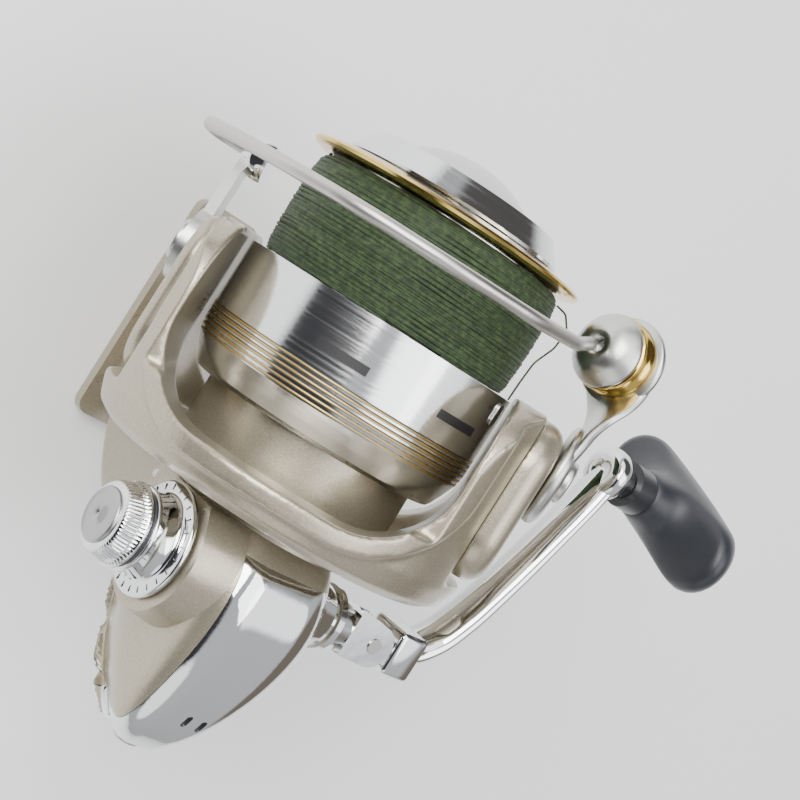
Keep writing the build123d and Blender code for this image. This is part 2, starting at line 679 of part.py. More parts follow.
# Stations of the gear case along the spool axis: y, left and right x, low and high z
CASE = [
    (-17.0, -12.6, 10.0, 45.0, 81.0),
    (-28.0, -13.4, 11.0, 44.5, 86.5),
    (-40.0, -13.2, 10.0, 45.0, 85.6),
    (-50.0, -12.4, 7.0, 48.0, 82.6),
    (-57.0, -11.0, 3.5, 57.0, 79.0),
    (-60.5, -8.0, 0.5, 65.0, 76.0)]


def case_solid(inset):
    """The gear case as a smooth loft of rounded sections, inset all round."""
    with BuildPart() as case:
        for y, x0, x1, z0, z1 in CASE:
            width = x1 - x0 - 2 * inset
            height = z1 - z0 - 2 * inset
            station = y + inset if y < -60 else y
            middle = ((x0 + x1) / 2, station, (z0 + z1) / 2)
            with BuildSketch(Plane(origin=middle, x_dir=(1, 0, 0), z_dir=(0, -1, 0))):
                RectangleRounded(width, height, 0.3 * min(width, height))
        loft()
    return case.part


def slab(x, thickness):
    """A wide block whose two faces are across X, from x onward."""
    with BuildPart() as block:
        with BuildSketch(Plane(origin=(x, -40, 60), x_dir=(0, 1, 0), z_dir=(1, 0, 0))):
            Rectangle(140, 140)
        extrude(amount=thickness)
    return block.part


def cover_region(clear):
    """The belly and tail that the rear cover wraps, seen from the side and drawn out across X."""
    with BuildPart() as region:
        with BuildSketch(Plane(origin=(COVER_PLANE_X + RUN - clear, 0, 0), x_dir=(0, 1, 0), z_dir=(1, 0, 0))):
            with BuildLine():
                Polyline((-21.5, 95), (-21.5, 80 - clear), (-41, 80 - clear), (-51, 75 - clear),
                         (-53 + clear, 66), (-57 + clear, 60 - clear), (-75, 60 - clear), (-75, 95),
                         close=True)
            make_face()
        extrude(amount=40)
    return region.part


CASE_OUT = case_solid(0)
CASE_UNDER_SKIN = case_solid(SKIN)
CASE_CAVITY = case_solid(SKIN + WALL)
TAIL_SCREW = (-3.6, 71.5)

with BuildPart() as rear_cover:
    add(CASE_OUT)
    add(CASE_UNDER_SKIN, mode=Mode.SUBTRACT)
    add(cover_region(0), mode=Mode.INTERSECT)
    for slot_x in (-2.4, 0.8):
        with BuildSketch(Plane(origin=(slot_x, -51.5, 90), x_dir=(0, 1, 0), z_dir=(0, 0, -1))):
            SlotOverall(2.6, 1.1)
        extrude(amount=14, mode=Mode.SUBTRACT)
    with BuildSketch(Plane.XZ.offset(50)):
        with Locations(TAIL_SCREW):
            Circle(1.55)
    extrude(amount=20, mode=Mode.SUBTRACT)
rear_cover.part.label = "rear_cover"
export_step(rear_cover.part, "parts/rear_cover.step")

TAIL_PLANE = Plane(origin=(TAIL_SCREW[0], -60.55, TAIL_SCREW[1]), x_dir=(1, 0, 0), z_dir=(0, -1, 0))
rear_cover_screw = screw(TAIL_PLANE, 2.6, 1.1, 1.5, 4.0)
rear_cover_screw.label = "rear_cover_screw"
export_step(rear_cover_screw, "parts/rear_cover_screw.step")

FLANGE_FRONT_Y = -16.2
FLANGE_BACK_Y = -17.9
NOSE_FRONT_Y = -4.1
with BuildPart() as front_trim:
    with BuildSketch(Plane(origin=(0, FLANGE_BACK_Y - RUN, 60), x_dir=(1, 0, 0), z_dir=(0, 1, 0))):
        Rectangle(140, 140)
    extrude(amount=40)

BOSS_OUT_X = -18.8
COVER_SCREWS = [(-22.0, 47.9), (-44.5, 78.0), (-50.0, 59.0)]
POST_R = 2.6
HEAD_SEAT_X = 3.2
with BuildPart() as side_cover:
    add(CASE_OUT)
    add(slab(COVER_PLANE_X - RUN, 80), mode=Mode.SUBTRACT)
    with BuildSketch(across(COVER_PLANE_X - RUN)):
        Circle(13.6)
    with BuildSketch(across(-15.5)):
        Circle(12.9)
    with BuildSketch(across(BOSS_OUT_X)):
        Circle(12.2)
    loft()
    with BuildSketch(across(-17.6)):
        Circle(6.52)
    extrude(amount=10, mode=Mode.SUBTRACT)
    with BuildSketch(across(-19.5)):
        Circle(4.0)
    extrude(amount=5, mode=Mode.SUBTRACT)
    with BuildSketch(Plane(origin=(COVER_PLANE_X - 1.5, 0, 0), x_dir=(0, 1, 0), z_dir=(1, 0, 0))):
        with Locations(*COVER_SCREWS):
            Circle(1.02)
    extrude(amount=20, mode=Mode.SUBTRACT)
    add(front_trim.part, mode=Mode.SUBTRACT)
side_cover.part.label = "side_cover"
export_step(side_cover.part, "parts/side_cover.step")

with BuildPart() as side_cover_screws:
    for y, z in COVER_SCREWS:
        head_plane = Plane(origin=(HEAD_SEAT_X + RUN, y, z), x_dir=(0, 1, 0), z_dir=(1, 0, 0))
        add(screw(head_plane, 1.8, 1.2, 1.0, HEAD_SEAT_X - COVER_PLANE_X + 1.2))
side_cover_screws.part.label = "side_cover_screws"
export_step(side_cover_screws.part, "parts/side_cover_screws.step")

# posts for the side cover's screws, from the parting plane to the far wall
with BuildPart() as posts:
    with BuildSketch(Plane(origin=(COVER_PLANE_X, 0, 0), x_dir=(0, 1, 0), z_dir=(1, 0, 0))):
        with Locations(*COVER_SCREWS):
            Circle(POST_R)
    extrude(amount=24)
    add(case_solid(SKIN + WALL / 2), mode=Mode.INTERSECT)

with BuildPart() as body_housing:
    add(CASE_OUT)
    add(slab(COVER_PLANE_X, -60), mode=Mode.SUBTRACT)
    with BuildSketch(level(FLANGE_BACK_Y)):
        Circle(FLANGE_R)
    extrude(amount=FLANGE_FRONT_Y - FLANGE_BACK_Y)
    # stem down to the foot plate
    for y, z, width, length in ((-2.0, 1.5, 10.0, 34.0), (-9.5, 8.0, 9.6, 27.0), (-20.0, 15.0, 9.6, 21.0),
                                (-27.0, 23.0, 10.4, 18.0), (-28.0, 34.0, 12.0, 20.0), (-29.0, 48.0, 15.0, 22.0)):
        with BuildSketch(Plane(origin=(0, y, z), x_dir=(1, 0, 0), z_dir=(0, 0, 1))):
            SlotOverall(length, width, rotation=90)
    loft()
    with BuildSketch(Plane.XY):
        RectangleRounded(FOOT_WIDTH, FOOT_LENGTH, 2.4)
    extrude(amount=FOOT_THICKNESS)
    add(CASE_CAVITY - front_trim.part, mode=Mode.SUBTRACT)
    # nose for bearing and one-way clutch
    with BuildSketch(level(FLANGE_BACK_Y)):
        Circle(NOSE_R)
    extrude(amount=NOSE_FRONT_Y - FLANGE_BACK_Y)
    with BuildSketch(level(-12.0)):
        Circle(NOSE_BORE)
    extrude(amount=12, mode=Mode.SUBTRACT)
    with BuildSketch(level(-16.0)):
        Circle(7.52)
    extrude(amount=5, mode=Mode.SUBTRACT)
    with BuildSketch(level(-20.0)):
        Circle(4.6)
    extrude(amount=5, mode=Mode.SUBTRACT)
    # bearing seat on the handle side
    with BuildSketch(across(7.5)):
        Circle(8.4)
    extrude(amount=5.1)
    with BuildSketch(across(7.0)):
        Circle(6.52)
    extrude(amount=4.6, mode=Mode.SUBTRACT)
    with BuildSketch(across(7.0)):
        Circle(4.2)
    extrude(amount=8, mode=Mode.SUBTRACT)
    # the posts have deep counterbores from the handle side
    add(posts.part)
    with BuildSketch(Plane(origin=(COVER_PLANE_X - 1, 0, 0), x_dir=(0, 1, 0), z_dir=(1, 0, 0))):
        with Locations(*COVER_SCREWS):
            Circle(1.02)
    extrude(amount=30, mode=Mode.SUBTRACT)
    with BuildSketch(Plane(origin=(HEAD_SEAT_X, 0, 0), x_dir=(0, 1, 0), z_dir=(1, 0, 0))):
        with Locations(*COVER_SCREWS):
            Circle(1.9)
    extrude(amount=20, mode=Mode.SUBTRACT)
    with BuildSketch(Plane.XZ.offset(50)):
        with Locations(TAIL_SCREW):
            Circle(1.55)
    extrude(amount=20, mode=Mode.SUBTRACT)
    # slot for the anti-reverse lever
    with BuildSketch(Plane(origin=(-3.8, 0, 0), x_dir=(0, 1, 0), z_dir=(1, 0, 0))):
        with Locations((-51.5, 50.5)):
            Rectangle(12.0, 12.0)
    extrude(amount=5.6, mode=Mode.SUBTRACT)
    add((CASE_OUT - CASE_UNDER_SKIN) & cover_region(RUN), mode=Mode.SUBTRACT)
body_housing.part.label = "body_housing"
export_step(body_housing.part, "parts/body_housing.step")

# ---------------------------------------------------------------- inside the case

pinion_bearing = ball_bearing(level(-15.98), 7.5, PINION_R + 0.06, 3.9)
pinion_bearing.label = "pinion_bearing"
export_step(pinion_bearing, "parts/pinion_bearing.step")

with BuildPart() as drive_bearings:
    add(ball_bearing(across(8.0), 6.5, HUB_R + 0.06, 3.4))
    add(ball_bearing(across(-17.5), 6.5, HUB_R + 0.06, 3.4))
drive_bearings.part.label = "drive_bearings"
export_step(drive_bearings.part, "parts/drive_bearings.step")

clutch_housing = ring(level(-11.9), NOSE_BORE - 0.05, 8.2, 7.8)
clutch_housing.label = "clutch_housing"
export_step(clutch_housing, "parts/clutch_housing.step")

with BuildPart() as clutch_rollers:
    with BuildSketch(level(-11.0)):
        with PolarLocations(7.05, 6):
            Circle(1.08)
    extrude(amount=6.2)
clutch_rollers.part.label = "clutch_rollers"
export_step(clutch_rollers.part, "parts/clutch_rollers.step")

with BuildPart() as clutch_cover:
    with BuildSketch(level(NOSE_FRONT_Y + 0.03)):
        Circle(NOSE_R)
        Circle(6.2, mode=Mode.SUBTRACT)
        with PolarLocations(10.4, 3):
            Circle(0.8, mode=Mode.SUBTRACT)
    extrude(amount=1.0)
clutch_cover.part.label = "clutch_cover"
export_step(clutch_cover.part, "parts/clutch_cover.step")

with BuildPart() as guide_rod:
    with BuildSketch(Plane(origin=(-0.6, -47.6, GUIDE_Z), x_dir=(1, 0, 0), z_dir=(0, 1, 0))):
        Circle(GUIDE_R)
    extrude(amount=29.6)
guide_rod.part.label = "guide_rod"
export_step(guide_rod.part, "parts/guide_rod.step")

# ---------------------------------------------------------------- drive gear and handle shaft

with BuildPart() as drive_gear:
    with BuildSketch(across(-8.6)):
        Circle(GEAR_R)
    extrude(amount=2.6)
    with BuildSketch(across(-6.0)):
        with PolarLocations(8.5, GEAR_TEETH):
            Rectangle(2.4, 0.6)
    extrude(amount=1.7)
    with BuildSketch(across(-11.4)):
        Circle(4.6)
    extrude(amount=2.8)
    with BuildSketch(across(-12)):
        Circle(HUB_R + 0.01)
    extrude(amount=8, mode=Mode.SUBTRACT)
drive_gear.part.label = "drive_gear"
export_step(drive_gear.part, "parts/drive_gear.step")

ROD_R = 1.8
with BuildPart() as drive_shaft:
    with BuildSketch(across(-17.3)):
        Circle(HUB_R)
    extrude(amount=30.2)
    with BuildSketch(across(3.5)):
        Circle(3.5)
        with PolarLocations(SMALL_TIP_R - 0.6, SMALL_TEETH):
            Rectangle(1.2, 0.9)
    extrude(amount=1.4)
    with BuildSketch(across(-18)):
        Circle(ROD_R + RUN)
    extrude(amount=32, mode=Mode.SUBTRACT)
drive_shaft.part.label = "drive_shaft"
export_step(drive_shaft.part, "parts/drive_shaft.step")

with BuildPart() as handle_collar:
    with BuildSketch(HANDLE_SIDE):
        with BuildLine():
            Polyline((12.95, 0), (12.95, 6.6), (14.0, 6.9), (15.0, 6.6), (18.6, 5.7), (18.9, 6.3), (20.2, 6.3),
                     (20.5, 5.2), (25.5, 4.8), (25.5, 0), close=True)
        make_face()
    revolve(axis=HANDLE_AXIS)
    with BuildSketch(across(12)):
        Circle(ROD_R + RUN)
    extrude(amount=8, mode=Mode.SUBTRACT)
    # yoke of the folding joint: two ears with a slot between them
    with BuildSketch(Plane(origin=(HINGE_X, HANDLE_Y, HANDLE_Z), x_dir=(1, 0, 0), z_dir=(0, 0, 1))):
        with Locations((-3.2, 0)):
            Rectangle(6.4, 8.4)
        Circle(4.2)
    extrude(amount=5.0, both=True)
    with BuildSketch(Plane(origin=(HINGE_X, HANDLE_Y, HANDLE_Z), x_dir=(1, 0, 0), z_dir=(0, 0, 1))):
        with Locations((1.6, 0)):
            Rectangle(12.4, 12)
    extrude(amount=2.1, both=True, mode=Mode.SUBTRACT)
    with BuildSketch(Plane(origin=(HINGE_X, HANDLE_Y, HANDLE_Z), x_dir=(1, 0, 0), z_dir=(0, 0, 1))):
        Circle(1.52)
    extrude(amount=6.0, both=True, mode=Mode.SUBTRACT)
handle_collar.part.label = "handle_collar"
export_step(handle_collar.part, "parts/handle_collar.step")

FOLD_PLANE = Plane(origin=(HINGE_X, HANDLE_Y, HANDLE_Z - 5.3), x_dir=(1, 0, 0), z_dir=(0, 0, 1))
fold_pin = ring(FOLD_PLANE, 1.5, 0, 10.6)
fold_pin.label = "fold_pin"
export_step(fold_pin, "parts/fold_pin.step")

# ---------------------------------------------------------------- handle screw cap

with BuildPart() as cap_base:
    with BuildSketch(HANDLE_SIDE):
        with BuildLine():
            Polyline((-19.1, 0), (-19.1, 10.0), (-19.5, 10.4), (-20.3, 10.2), (-20.5, 8.8), (-24.4, 8.5),
                     (-24.9, 8.9), (-25.3, 8.8), (-25.3, 0), close=True)
        make_face()
    revolve(axis=HANDLE_AXIS)
    with BuildSketch(across(-26)):
        Circle(ROD_R + 0.01)
    extrude(amount=8, mode=Mode.SUBTRACT)
    # radial marks cut in the face of the flange
    with BuildSketch(across(-20.9)):
        with PolarLocations(9.6, 24):
            Rectangle(1.1, 0.22)
    extrude(amount=0.75, mode=Mode.SUBTRACT)
cap_base.part.label = "cap_base"
export_step(cap_base.part, "parts/cap_base.step")

cap_seal = ring(across(-26.1), 8.1, ROD_R + 0.01, 0.78)
cap_seal.label = "cap_seal"
export_step(cap_seal, "parts/cap_seal.step")

with BuildPart() as cap_knob:
    with BuildSketch(HANDLE_SIDE):
        with BuildLine():
            Polyline((-26.12, 0), (-26.12, 8.7), (-26.6, 8.8), (-26.9, 8.2), (-30.2, 7.9), (-30.8, 7.0),
                     (-30.8, 0), close=True)
        make_face()
    revolve(axis=HANDLE_AXIS)
    with BuildSketch(across(-30.4)):
        with PolarLocations(8.35, 60):
            Rectangle(0.7, 0.34)
    extrude(amount=3.4, mode=Mode.SUBTRACT)
    with BuildSketch(across(-31)):
        Circle(6.4)
    extrude(amount=0.7, mode=Mode.SUBTRACT)
cap_knob.part.label = "cap_knob"
export_step(cap_knob.part, "parts/cap_knob.step")

with BuildPart() as cap_face:
    with BuildSketch(across(-31.5)):
        Circle(6.36)
    extrude(amount=1.18)
    chamfer(cap_face.edges().group_by(Axis.X)[0], 0.4)
cap_face.part.label = "cap_face"
export_step(cap_face.part, "parts/cap_face.step")

cap_rod = ring(across(-26.1), ROD_R, 0, 45.0)
cap_rod.label = "cap_rod"
export_step(cap_rod, "parts/cap_rod.step")

# ---------------------------------------------------------------- handle arm

KNOB_Y = HANDLE_Y + CRANK * cos(radians(CRANK_ANGLE))
KNOB_Z = HANDLE_Z + CRANK * sin(radians(CRANK_ANGLE))
ARM_PLANE = Plane(origin=(HINGE_X, HANDLE_Y, HANDLE_Z), x_dir=(1, 0, 0),
                  z_dir=(0, -sin(radians(CRANK_ANGLE)), cos(radians(CRANK_ANGLE))))
BOSS_X = KNOB_X - HINGE_X
with BuildPart() as handle_arm:
    with BuildSketch(ARM_PLANE):
        with BuildLine():
            arm_line = Spline((9.0, 1.2), (15.5, 6.5), (21.0, 19.0), (25.0, 34.0), (BOSS_X, CRANK),
                              tangents=[(1, 0.1), (0.15, 1)])
        trace(line_width=3.4)
    extrude(amount=4.2, both=True)
    with BuildSketch(across(KNOB_X - 2.0, KNOB_Y, KNOB_Z)):
        Circle(5.2)
    extrude(amount=4.0)
    with BuildSketch(Plane(origin=(HINGE_X, HANDLE_Y, HANDLE_Z), x_dir=(1, 0, 0), z_dir=(0, 0, 1))):
        Circle(4.0)
        with Locations((4.2, 0)):
            Rectangle(8.4, 8.0)
    extrude(amount=2.0, both=True)
    with BuildSketch(Plane(origin=(HINGE_X, HANDLE_Y, HANDLE_Z), x_dir=(1, 0, 0), z_dir=(0, 0, 1))):
        with Locations((8.0, 0.4)):
            RectangleRounded(7.0, 9.0, 1.2)
    extrude(amount=4.6, both=True)
    with BuildSketch(Plane(origin=(HINGE_X, HANDLE_Y, HANDLE_Z), x_dir=(1, 0, 0), z_dir=(0, 0, 1))):
        Circle(1.56)
    extrude(amount=6.0, both=True, mode=Mode.SUBTRACT)
handle_arm.part.label = "handle_arm"
export_step(handle_arm.part, "parts/handle_arm.step")

with BuildPart() as knob_spindle:
    with BuildSketch(across(KNOB_X + 2.02, KNOB_Y, KNOB_Z)):
        Circle(3.4)
    with BuildSketch(across(KNOB_X + 5.0, KNOB_Y, KNOB_Z)):
        Circle(2.9)
    loft()
    with BuildSketch(across(KNOB_X + 5.0, KNOB_Y, KNOB_Z)):
        Circle(2.2)
    extrude(amount=16.0)
knob_spindle.part.label = "knob_spindle"
export_step(knob_spindle.part, "parts/knob_spindle.step")

knob_collar = ring(across(KNOB_X + 5.3, KNOB_Y, KNOB_Z), 4.7, 2.26, 4.4)
knob_collar.label = "knob_collar"
export_step(knob_collar, "parts/knob_collar.step")

PADDLE_DIR = Vector(0, -0.315, 0.949).normalized()
with BuildPart() as knob_grip:
    for x, length, thick in ((KNOB_X + 9.75, 9.6, 9.4), (KNOB_X + 13.5, 13.0, 11.5), (KNOB_X + 18.0, 29.0, 14.4),
                             (KNOB_X + 22.5, 41.5, 15.6), (KNOB_X + 26.5, 36.0, 13.2), (KNOB_X + 28.6, 28.0, 9.0)):
        with BuildSketch(Plane(origin=(x, KNOB_Y, KNOB_Z), x_dir=PADDLE_DIR, z_dir=(1, 0, 0))):
            SlotOverall(length, thick)
    loft()
    with BuildSketch(across(KNOB_X + 9.0, KNOB_Y, KNOB_Z)):
        Circle(2.26)
    extrude(amount=12.2, mode=Mode.SUBTRACT)
knob_grip.part.label = "knob_grip"
export_step(knob_grip.part, "parts/knob_grip.step")

# ---------------------------------------------------------------- anti-reverse lever

STOP_Y = -50.0
STOP_Z = 49.5
with BuildPart() as anti_reverse_lever:
    with BuildSketch(Plane(origin=(-3.5, STOP_Y, STOP_Z), x_dir=(0, 1, 0), z_dir=(1, 0, 0))):
        Circle(2.4)
        with Locations((-3.3, 1.6)):
            SlotOverall(8.6, 3.0, rotation=-28)
    extrude(amount=5.0)
anti_reverse_lever.part.label = "anti_reverse_lever"
export_step(anti_reverse_lever.part, "parts/anti_reverse_lever.step")
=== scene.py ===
import json
from math import cos, sin, pi, radians, sqrt
import random
import bpy
import bmesh
import numpy as np
from mathutils import Matrix, Vector


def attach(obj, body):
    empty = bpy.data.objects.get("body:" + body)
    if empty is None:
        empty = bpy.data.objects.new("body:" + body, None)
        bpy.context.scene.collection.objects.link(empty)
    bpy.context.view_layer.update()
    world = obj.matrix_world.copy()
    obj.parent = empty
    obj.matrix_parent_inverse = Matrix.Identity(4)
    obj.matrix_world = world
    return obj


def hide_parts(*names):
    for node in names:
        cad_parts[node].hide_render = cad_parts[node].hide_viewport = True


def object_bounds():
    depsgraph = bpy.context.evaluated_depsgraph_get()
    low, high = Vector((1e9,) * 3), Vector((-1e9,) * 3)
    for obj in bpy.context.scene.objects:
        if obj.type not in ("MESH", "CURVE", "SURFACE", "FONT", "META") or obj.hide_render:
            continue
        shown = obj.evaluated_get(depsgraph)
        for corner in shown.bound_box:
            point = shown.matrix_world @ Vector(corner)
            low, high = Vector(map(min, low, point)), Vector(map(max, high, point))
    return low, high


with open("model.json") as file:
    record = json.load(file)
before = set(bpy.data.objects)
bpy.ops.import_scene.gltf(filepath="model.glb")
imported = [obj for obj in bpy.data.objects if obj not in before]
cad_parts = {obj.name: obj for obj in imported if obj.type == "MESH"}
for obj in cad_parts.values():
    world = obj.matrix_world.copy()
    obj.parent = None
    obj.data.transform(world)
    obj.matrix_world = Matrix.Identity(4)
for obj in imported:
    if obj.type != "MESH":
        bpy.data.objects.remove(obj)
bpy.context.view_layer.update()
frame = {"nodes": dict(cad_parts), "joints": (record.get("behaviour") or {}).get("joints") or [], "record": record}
MM = 0.001
random.seed(11)

# -------------------------------------------------- directions and places, from the frame
JOINTS = {joint["name"]: joint for joint in frame["joints"]}
AXIS = Vector(JOINTS["rotor_turn"]["pos_m"])
CRANK = Vector(JOINTS["handle_turn"]["pos_m"])
HINGE = Vector(JOINTS["handle_fold"]["pos_m"])
KNOB = Vector(JOINTS["knob_spin"]["pos_m"])
U = -Vector(JOINTS["bail_swing"]["axis"])
X, Y, Z = Vector((1, 0, 0)), Vector((0, 1, 0)), Vector((0, 0, 1))
W = U.cross(Y)
ROLLER = Vector(JOINTS["roller_spin"]["pos_m"])
ROLLER_DIR = Vector(JOINTS["roller_spin"]["axis"])


def rp(u, y, w):
    """A point by its place along the rotor's arm line, the spool axis and the window's facing, in mm."""
    return AXIS + U * u * MM + Y * y * MM + W * w * MM


# -------------------------------------------------- mesh helpers

def new_object(name, mesh, body, material, smooth=True):
    piece = bpy.data.objects.new(name, mesh)
    bpy.context.scene.collection.objects.link(piece)
    if smooth:
        mesh.polygons.foreach_set("use_smooth", [True] * len(mesh.polygons))
    if material:
        mesh.materials.append(material)
    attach(piece, body)
    return piece


def mesh_from(name, points, faces):
    mesh = bpy.data.meshes.new(name)
    mesh.from_pydata([tuple(p) for p in points], [], faces)
    mesh.validate()
    mesh.update()
    return mesh


def grid_faces(rows, columns, wrap_rows=False):
    """Quads between rows of points, each row closed round."""
    faces = []
    last = rows if wrap_rows else rows - 1
    for i in range(last):
        for j in range(columns):
            a, b = i * columns + j, i * columns + (j + 1) % columns
            c, d = ((i + 1) % rows) * columns + (j + 1) % columns, ((i + 1) % rows) * columns + j
            faces.append((a, b, c, d))
    return faces


def skin(rings, capped=True):
    """Points and faces of a tube through rings that all have the same count of points."""
    count = len(rings[0])
    points = [p for ring in rings for p in ring]
    faces = grid_faces(len(rings), count)
    if capped:
        faces.append(tuple(reversed(range(count))))
        faces.append(tuple(range((len(rings) - 1) * count, len(rings) * count)))
    return points, faces


def outward(mesh):
    """Turns every face's normal out of the solid."""
    bm = bmesh.new()
    bm.from_mesh(mesh)
    bmesh.ops.recalc_face_normals(bm, faces=bm.faces)
    bm.to_mesh(mesh)
    bm.free()


def lathe(name, profile, origin, axis, steps=192):
    """A solid turned about an axis; the profile is a closed list of (radius, place along the axis) in mm."""
    axis = axis.normalized()
    side = axis.orthogonal().normalized()
    up = axis.cross(side)
    turns = [2 * pi * k / steps for k in range(steps)]
    rings = []
    for radius, along in profile:
        centre = origin + axis * along * MM
        rings.append([centre + (side * cos(a) + up * sin(a)) * radius * MM for a in turns])
    points = [p for ring in rings for p in ring]
    mesh = mesh_from(name, points, grid_faces(len(rings), steps, wrap_rows=True))
    outward(mesh)
    return mesh


def smooth_path(points, cyclic=False, step=0.4):
    """Points along a smooth curve through the given ones, about step mm apart."""
    pts = [np.array(p) for p in points]
    out = []
    n = len(pts)
    for i in range(n if cyclic else n - 1):
        p1, p2 = pts[i], pts[(i + 1) % n]
        p0 = pts[i - 1] if cyclic or i > 0 else 2 * p1 - p2
        p3 = pts[(i + 2) % n] if cyclic or i + 2 < n else 2 * p2 - p1
        d01, d12, d23 = (max(np.linalg.norm(b - a), 1e-9) ** 0.5 for a, b in ((p0, p1), (p1, p2), (p2, p3)))
        m1 = (p1 - p0) / d01 ** 2 - (p2 - p0) / (d01 ** 2 + d12 ** 2) + (p2 - p1) / d12 ** 2
        m2 = (p2 - p1) / d12 ** 2 - (p3 - p1) / (d12 ** 2 + d23 ** 2) + (p3 - p2) / d23 ** 2
        span = d12 ** 2
        count = max(2, int(span / (step * MM)))
        for k in range(count):
            t = k / count
            h = (2 * t ** 3 - 3 * t ** 2 + 1, (t ** 3 - 2 * t ** 2 + t) * span,
                 -2 * t ** 3 + 3 * t ** 2, (t ** 3 - t ** 2) * span)
            out.append(h[0] * p1 + h[1] * m1 + h[2] * p2 + h[3] * m2)
    if not cyclic:
        out.append(pts[-1])
    return [Vector(p) for p in out]


def tube(name, path, radius, sides=12, radius_at=None):
    """A closed round bar along a path; radius in mm, or given along the path by radius_at(0..1)."""
    normal = (path[1] - path[0]).orthogonal().normalized()
    rings = []
    for i, p in enumerate(path):
        ahead = path[min(i + 1, len(path) - 1)] - path[max(i - 1, 0)]
        tangent = ahead.normalized()
        normal = (normal - tangent * normal.dot(tangent)).normalized()
        across = tangent.cross(normal)
        r = (radius_at(i / (len(path) - 1)) if radius_at else radius) * MM
        rings.append([p + (normal * cos(2 * pi * k / sides) + across * sin(2 * pi * k / sides)) * r
                      for k in range(sides)])
    return mesh_from(name, *skin(rings))


# -------------------------------------------------- materials

def material(name, color, metallic, roughness, **sockets):
    """A Principled material; further sockets are given by name with underscores for spaces."""
    mat = bpy.data.materials.new(name)
    mat.use_nodes = True
    shader = mat.node_tree.nodes["Principled BSDF"]
    shader.inputs["Base Color"].default_value = (*color, 1)
    shader.inputs["Metallic"].default_value = metallic
    shader.inputs["Roughness"].default_value = roughness
    for key, value in sockets.items():
        shader.inputs[key.replace("_", " ")].default_value = value
    return mat


class Nodes:
    """Short names for adding and linking shader nodes in a material."""

    def __init__(self, mat):
        self.tree = mat.node_tree
        self.shader = mat.node_tree.nodes["Principled BSDF"]
        self.place = self.add("ShaderNodeTexCoord").outputs["Object"]

    def add(self, kind, **values):
        node = self.tree.nodes.new(kind)
        for key, value in values.items():
            if hasattr(node, key):
                setattr(node, key, value)
            else:
                node.inputs[key.replace("_", " ")].default_value = value
        return node

    def link(self, a, b):
        self.tree.links.new(a, b)

    def noise(self, scale, detail=2.0, roughness=0.5, stretch=None, turn=None):
        node = self.add("ShaderNodeTexNoise", Scale=scale, Detail=detail, Roughness=roughness)
        source = self.place
        if stretch or turn:
            mapping = self.add("ShaderNodeMapping")
            mapping.inputs["Scale"].default_value = stretch or (1, 1, 1)
            mapping.inputs["Rotation"].default_value = turn or (0, 0, 0)
            self.link(source, mapping.inputs["Vector"])
            source = mapping.outputs["Vector"]
        self.link(source, node.inputs["Vector"])
        return node.outputs["Fac"]

    def span(self, value, low, high, to_low, to_high):
        node = self.add("ShaderNodeMapRange")
        for key, number in zip(("From Min", "From Max", "To Min", "To Max"), (low, high, to_low, to_high)):
            node.inputs[key].default_value = number
        self.link(value, node.inputs["Value"])
        return node.outputs["Result"]

    def ramp(self, value, *stops):
        """Colours by value; each stop is (place, (r, g, b))."""
        node = self.add("ShaderNodeValToRGB")
        elements = node.color_ramp.elements
        while len(elements) < len(stops):
            elements.new(0.5)
        for element, (place, color) in zip(elements, stops):
            element.position = place
            element.color = (*color, 1)
        self.link(value, node.inputs["Fac"])
        return node.outputs["Color"]

    def bump(self, height, strength, distance, below=None):
        node = self.add("ShaderNodeBump", Strength=strength, Distance=distance)
        self.link(height, node.inputs["Height"])
        if below:
            self.link(below, node.inputs["Normal"])
        return node.outputs["Normal"]

    def to(self, value, socket):
        self.link(value, self.shader.inputs[socket])


def tinted(color, factor):
    return tuple(min(1.0, c * factor) for c in color)


def champagne_paint(name, color=(0.43, 0.385, 0.295), roughness=0.30):
    """Metallic lacquer: fine flakes, a soft orange-peel, and faint handling wear."""
    mat = material(name, color, 0.72, roughness, Coat_Weight=0.25, Coat_Roughness=0.12)
    n = Nodes(mat)
    flakes = n.add("ShaderNodeTexVoronoi", Scale=5200.0)
    n.link(n.place, flakes.inputs["Vector"])
    sparkle = n.add("ShaderNodeSeparateColor")
    n.link(flakes.outputs["Color"], sparkle.inputs["Color"])
    shades = ((0.0, tinted(color, 0.90)), (0.75, color), (1.0, tinted(color, 1.18)))
    n.to(n.ramp(sparkle.outputs["Red"], *shades), "Base Color")
    n.to(n.span(n.noise(140, 4), 0.3, 0.7, roughness - 0.035, roughness + 0.05), "Roughness")
    n.to(n.bump(n.noise(2600, 1), 0.05, 0.0004), "Normal")
    return mat


def plated(name, color, roughness, ripple=0.02, metallic=1.0):
    """Bright plating or polish, with faint ripples and finger haze."""
    mat = material(name, color, metallic, roughness)
    n = Nodes(mat)
    n.to(n.span(n.noise(90, 5), 0.35, 0.7, roughness, roughness + 0.05), "Roughness")
    n.to(n.bump(n.noise(160, 2), ripple, 0.002), "Normal")
    return mat


def brushed(name, color, roughness, stretch=(1, 40, 1), scale=900, strength=0.12):
    """Metal with fine one-way brush or turning marks; the marks run where the stretch is smallest."""
    mat = material(name, color, 1.0, roughness)
    n = Nodes(mat)
    marks = n.noise(scale, 3, 0.65, stretch=stretch)
    n.to(n.span(marks, 0.3, 0.7, roughness - 0.05, roughness + 0.09), "Roughness")
    n.to(n.ramp(marks, (0.3, tinted(color, 0.9)), (0.7, tinted(color, 1.06))), "Base Color")
    n.to(n.bump(marks, strength, 0.0002), "Normal")
    return mat


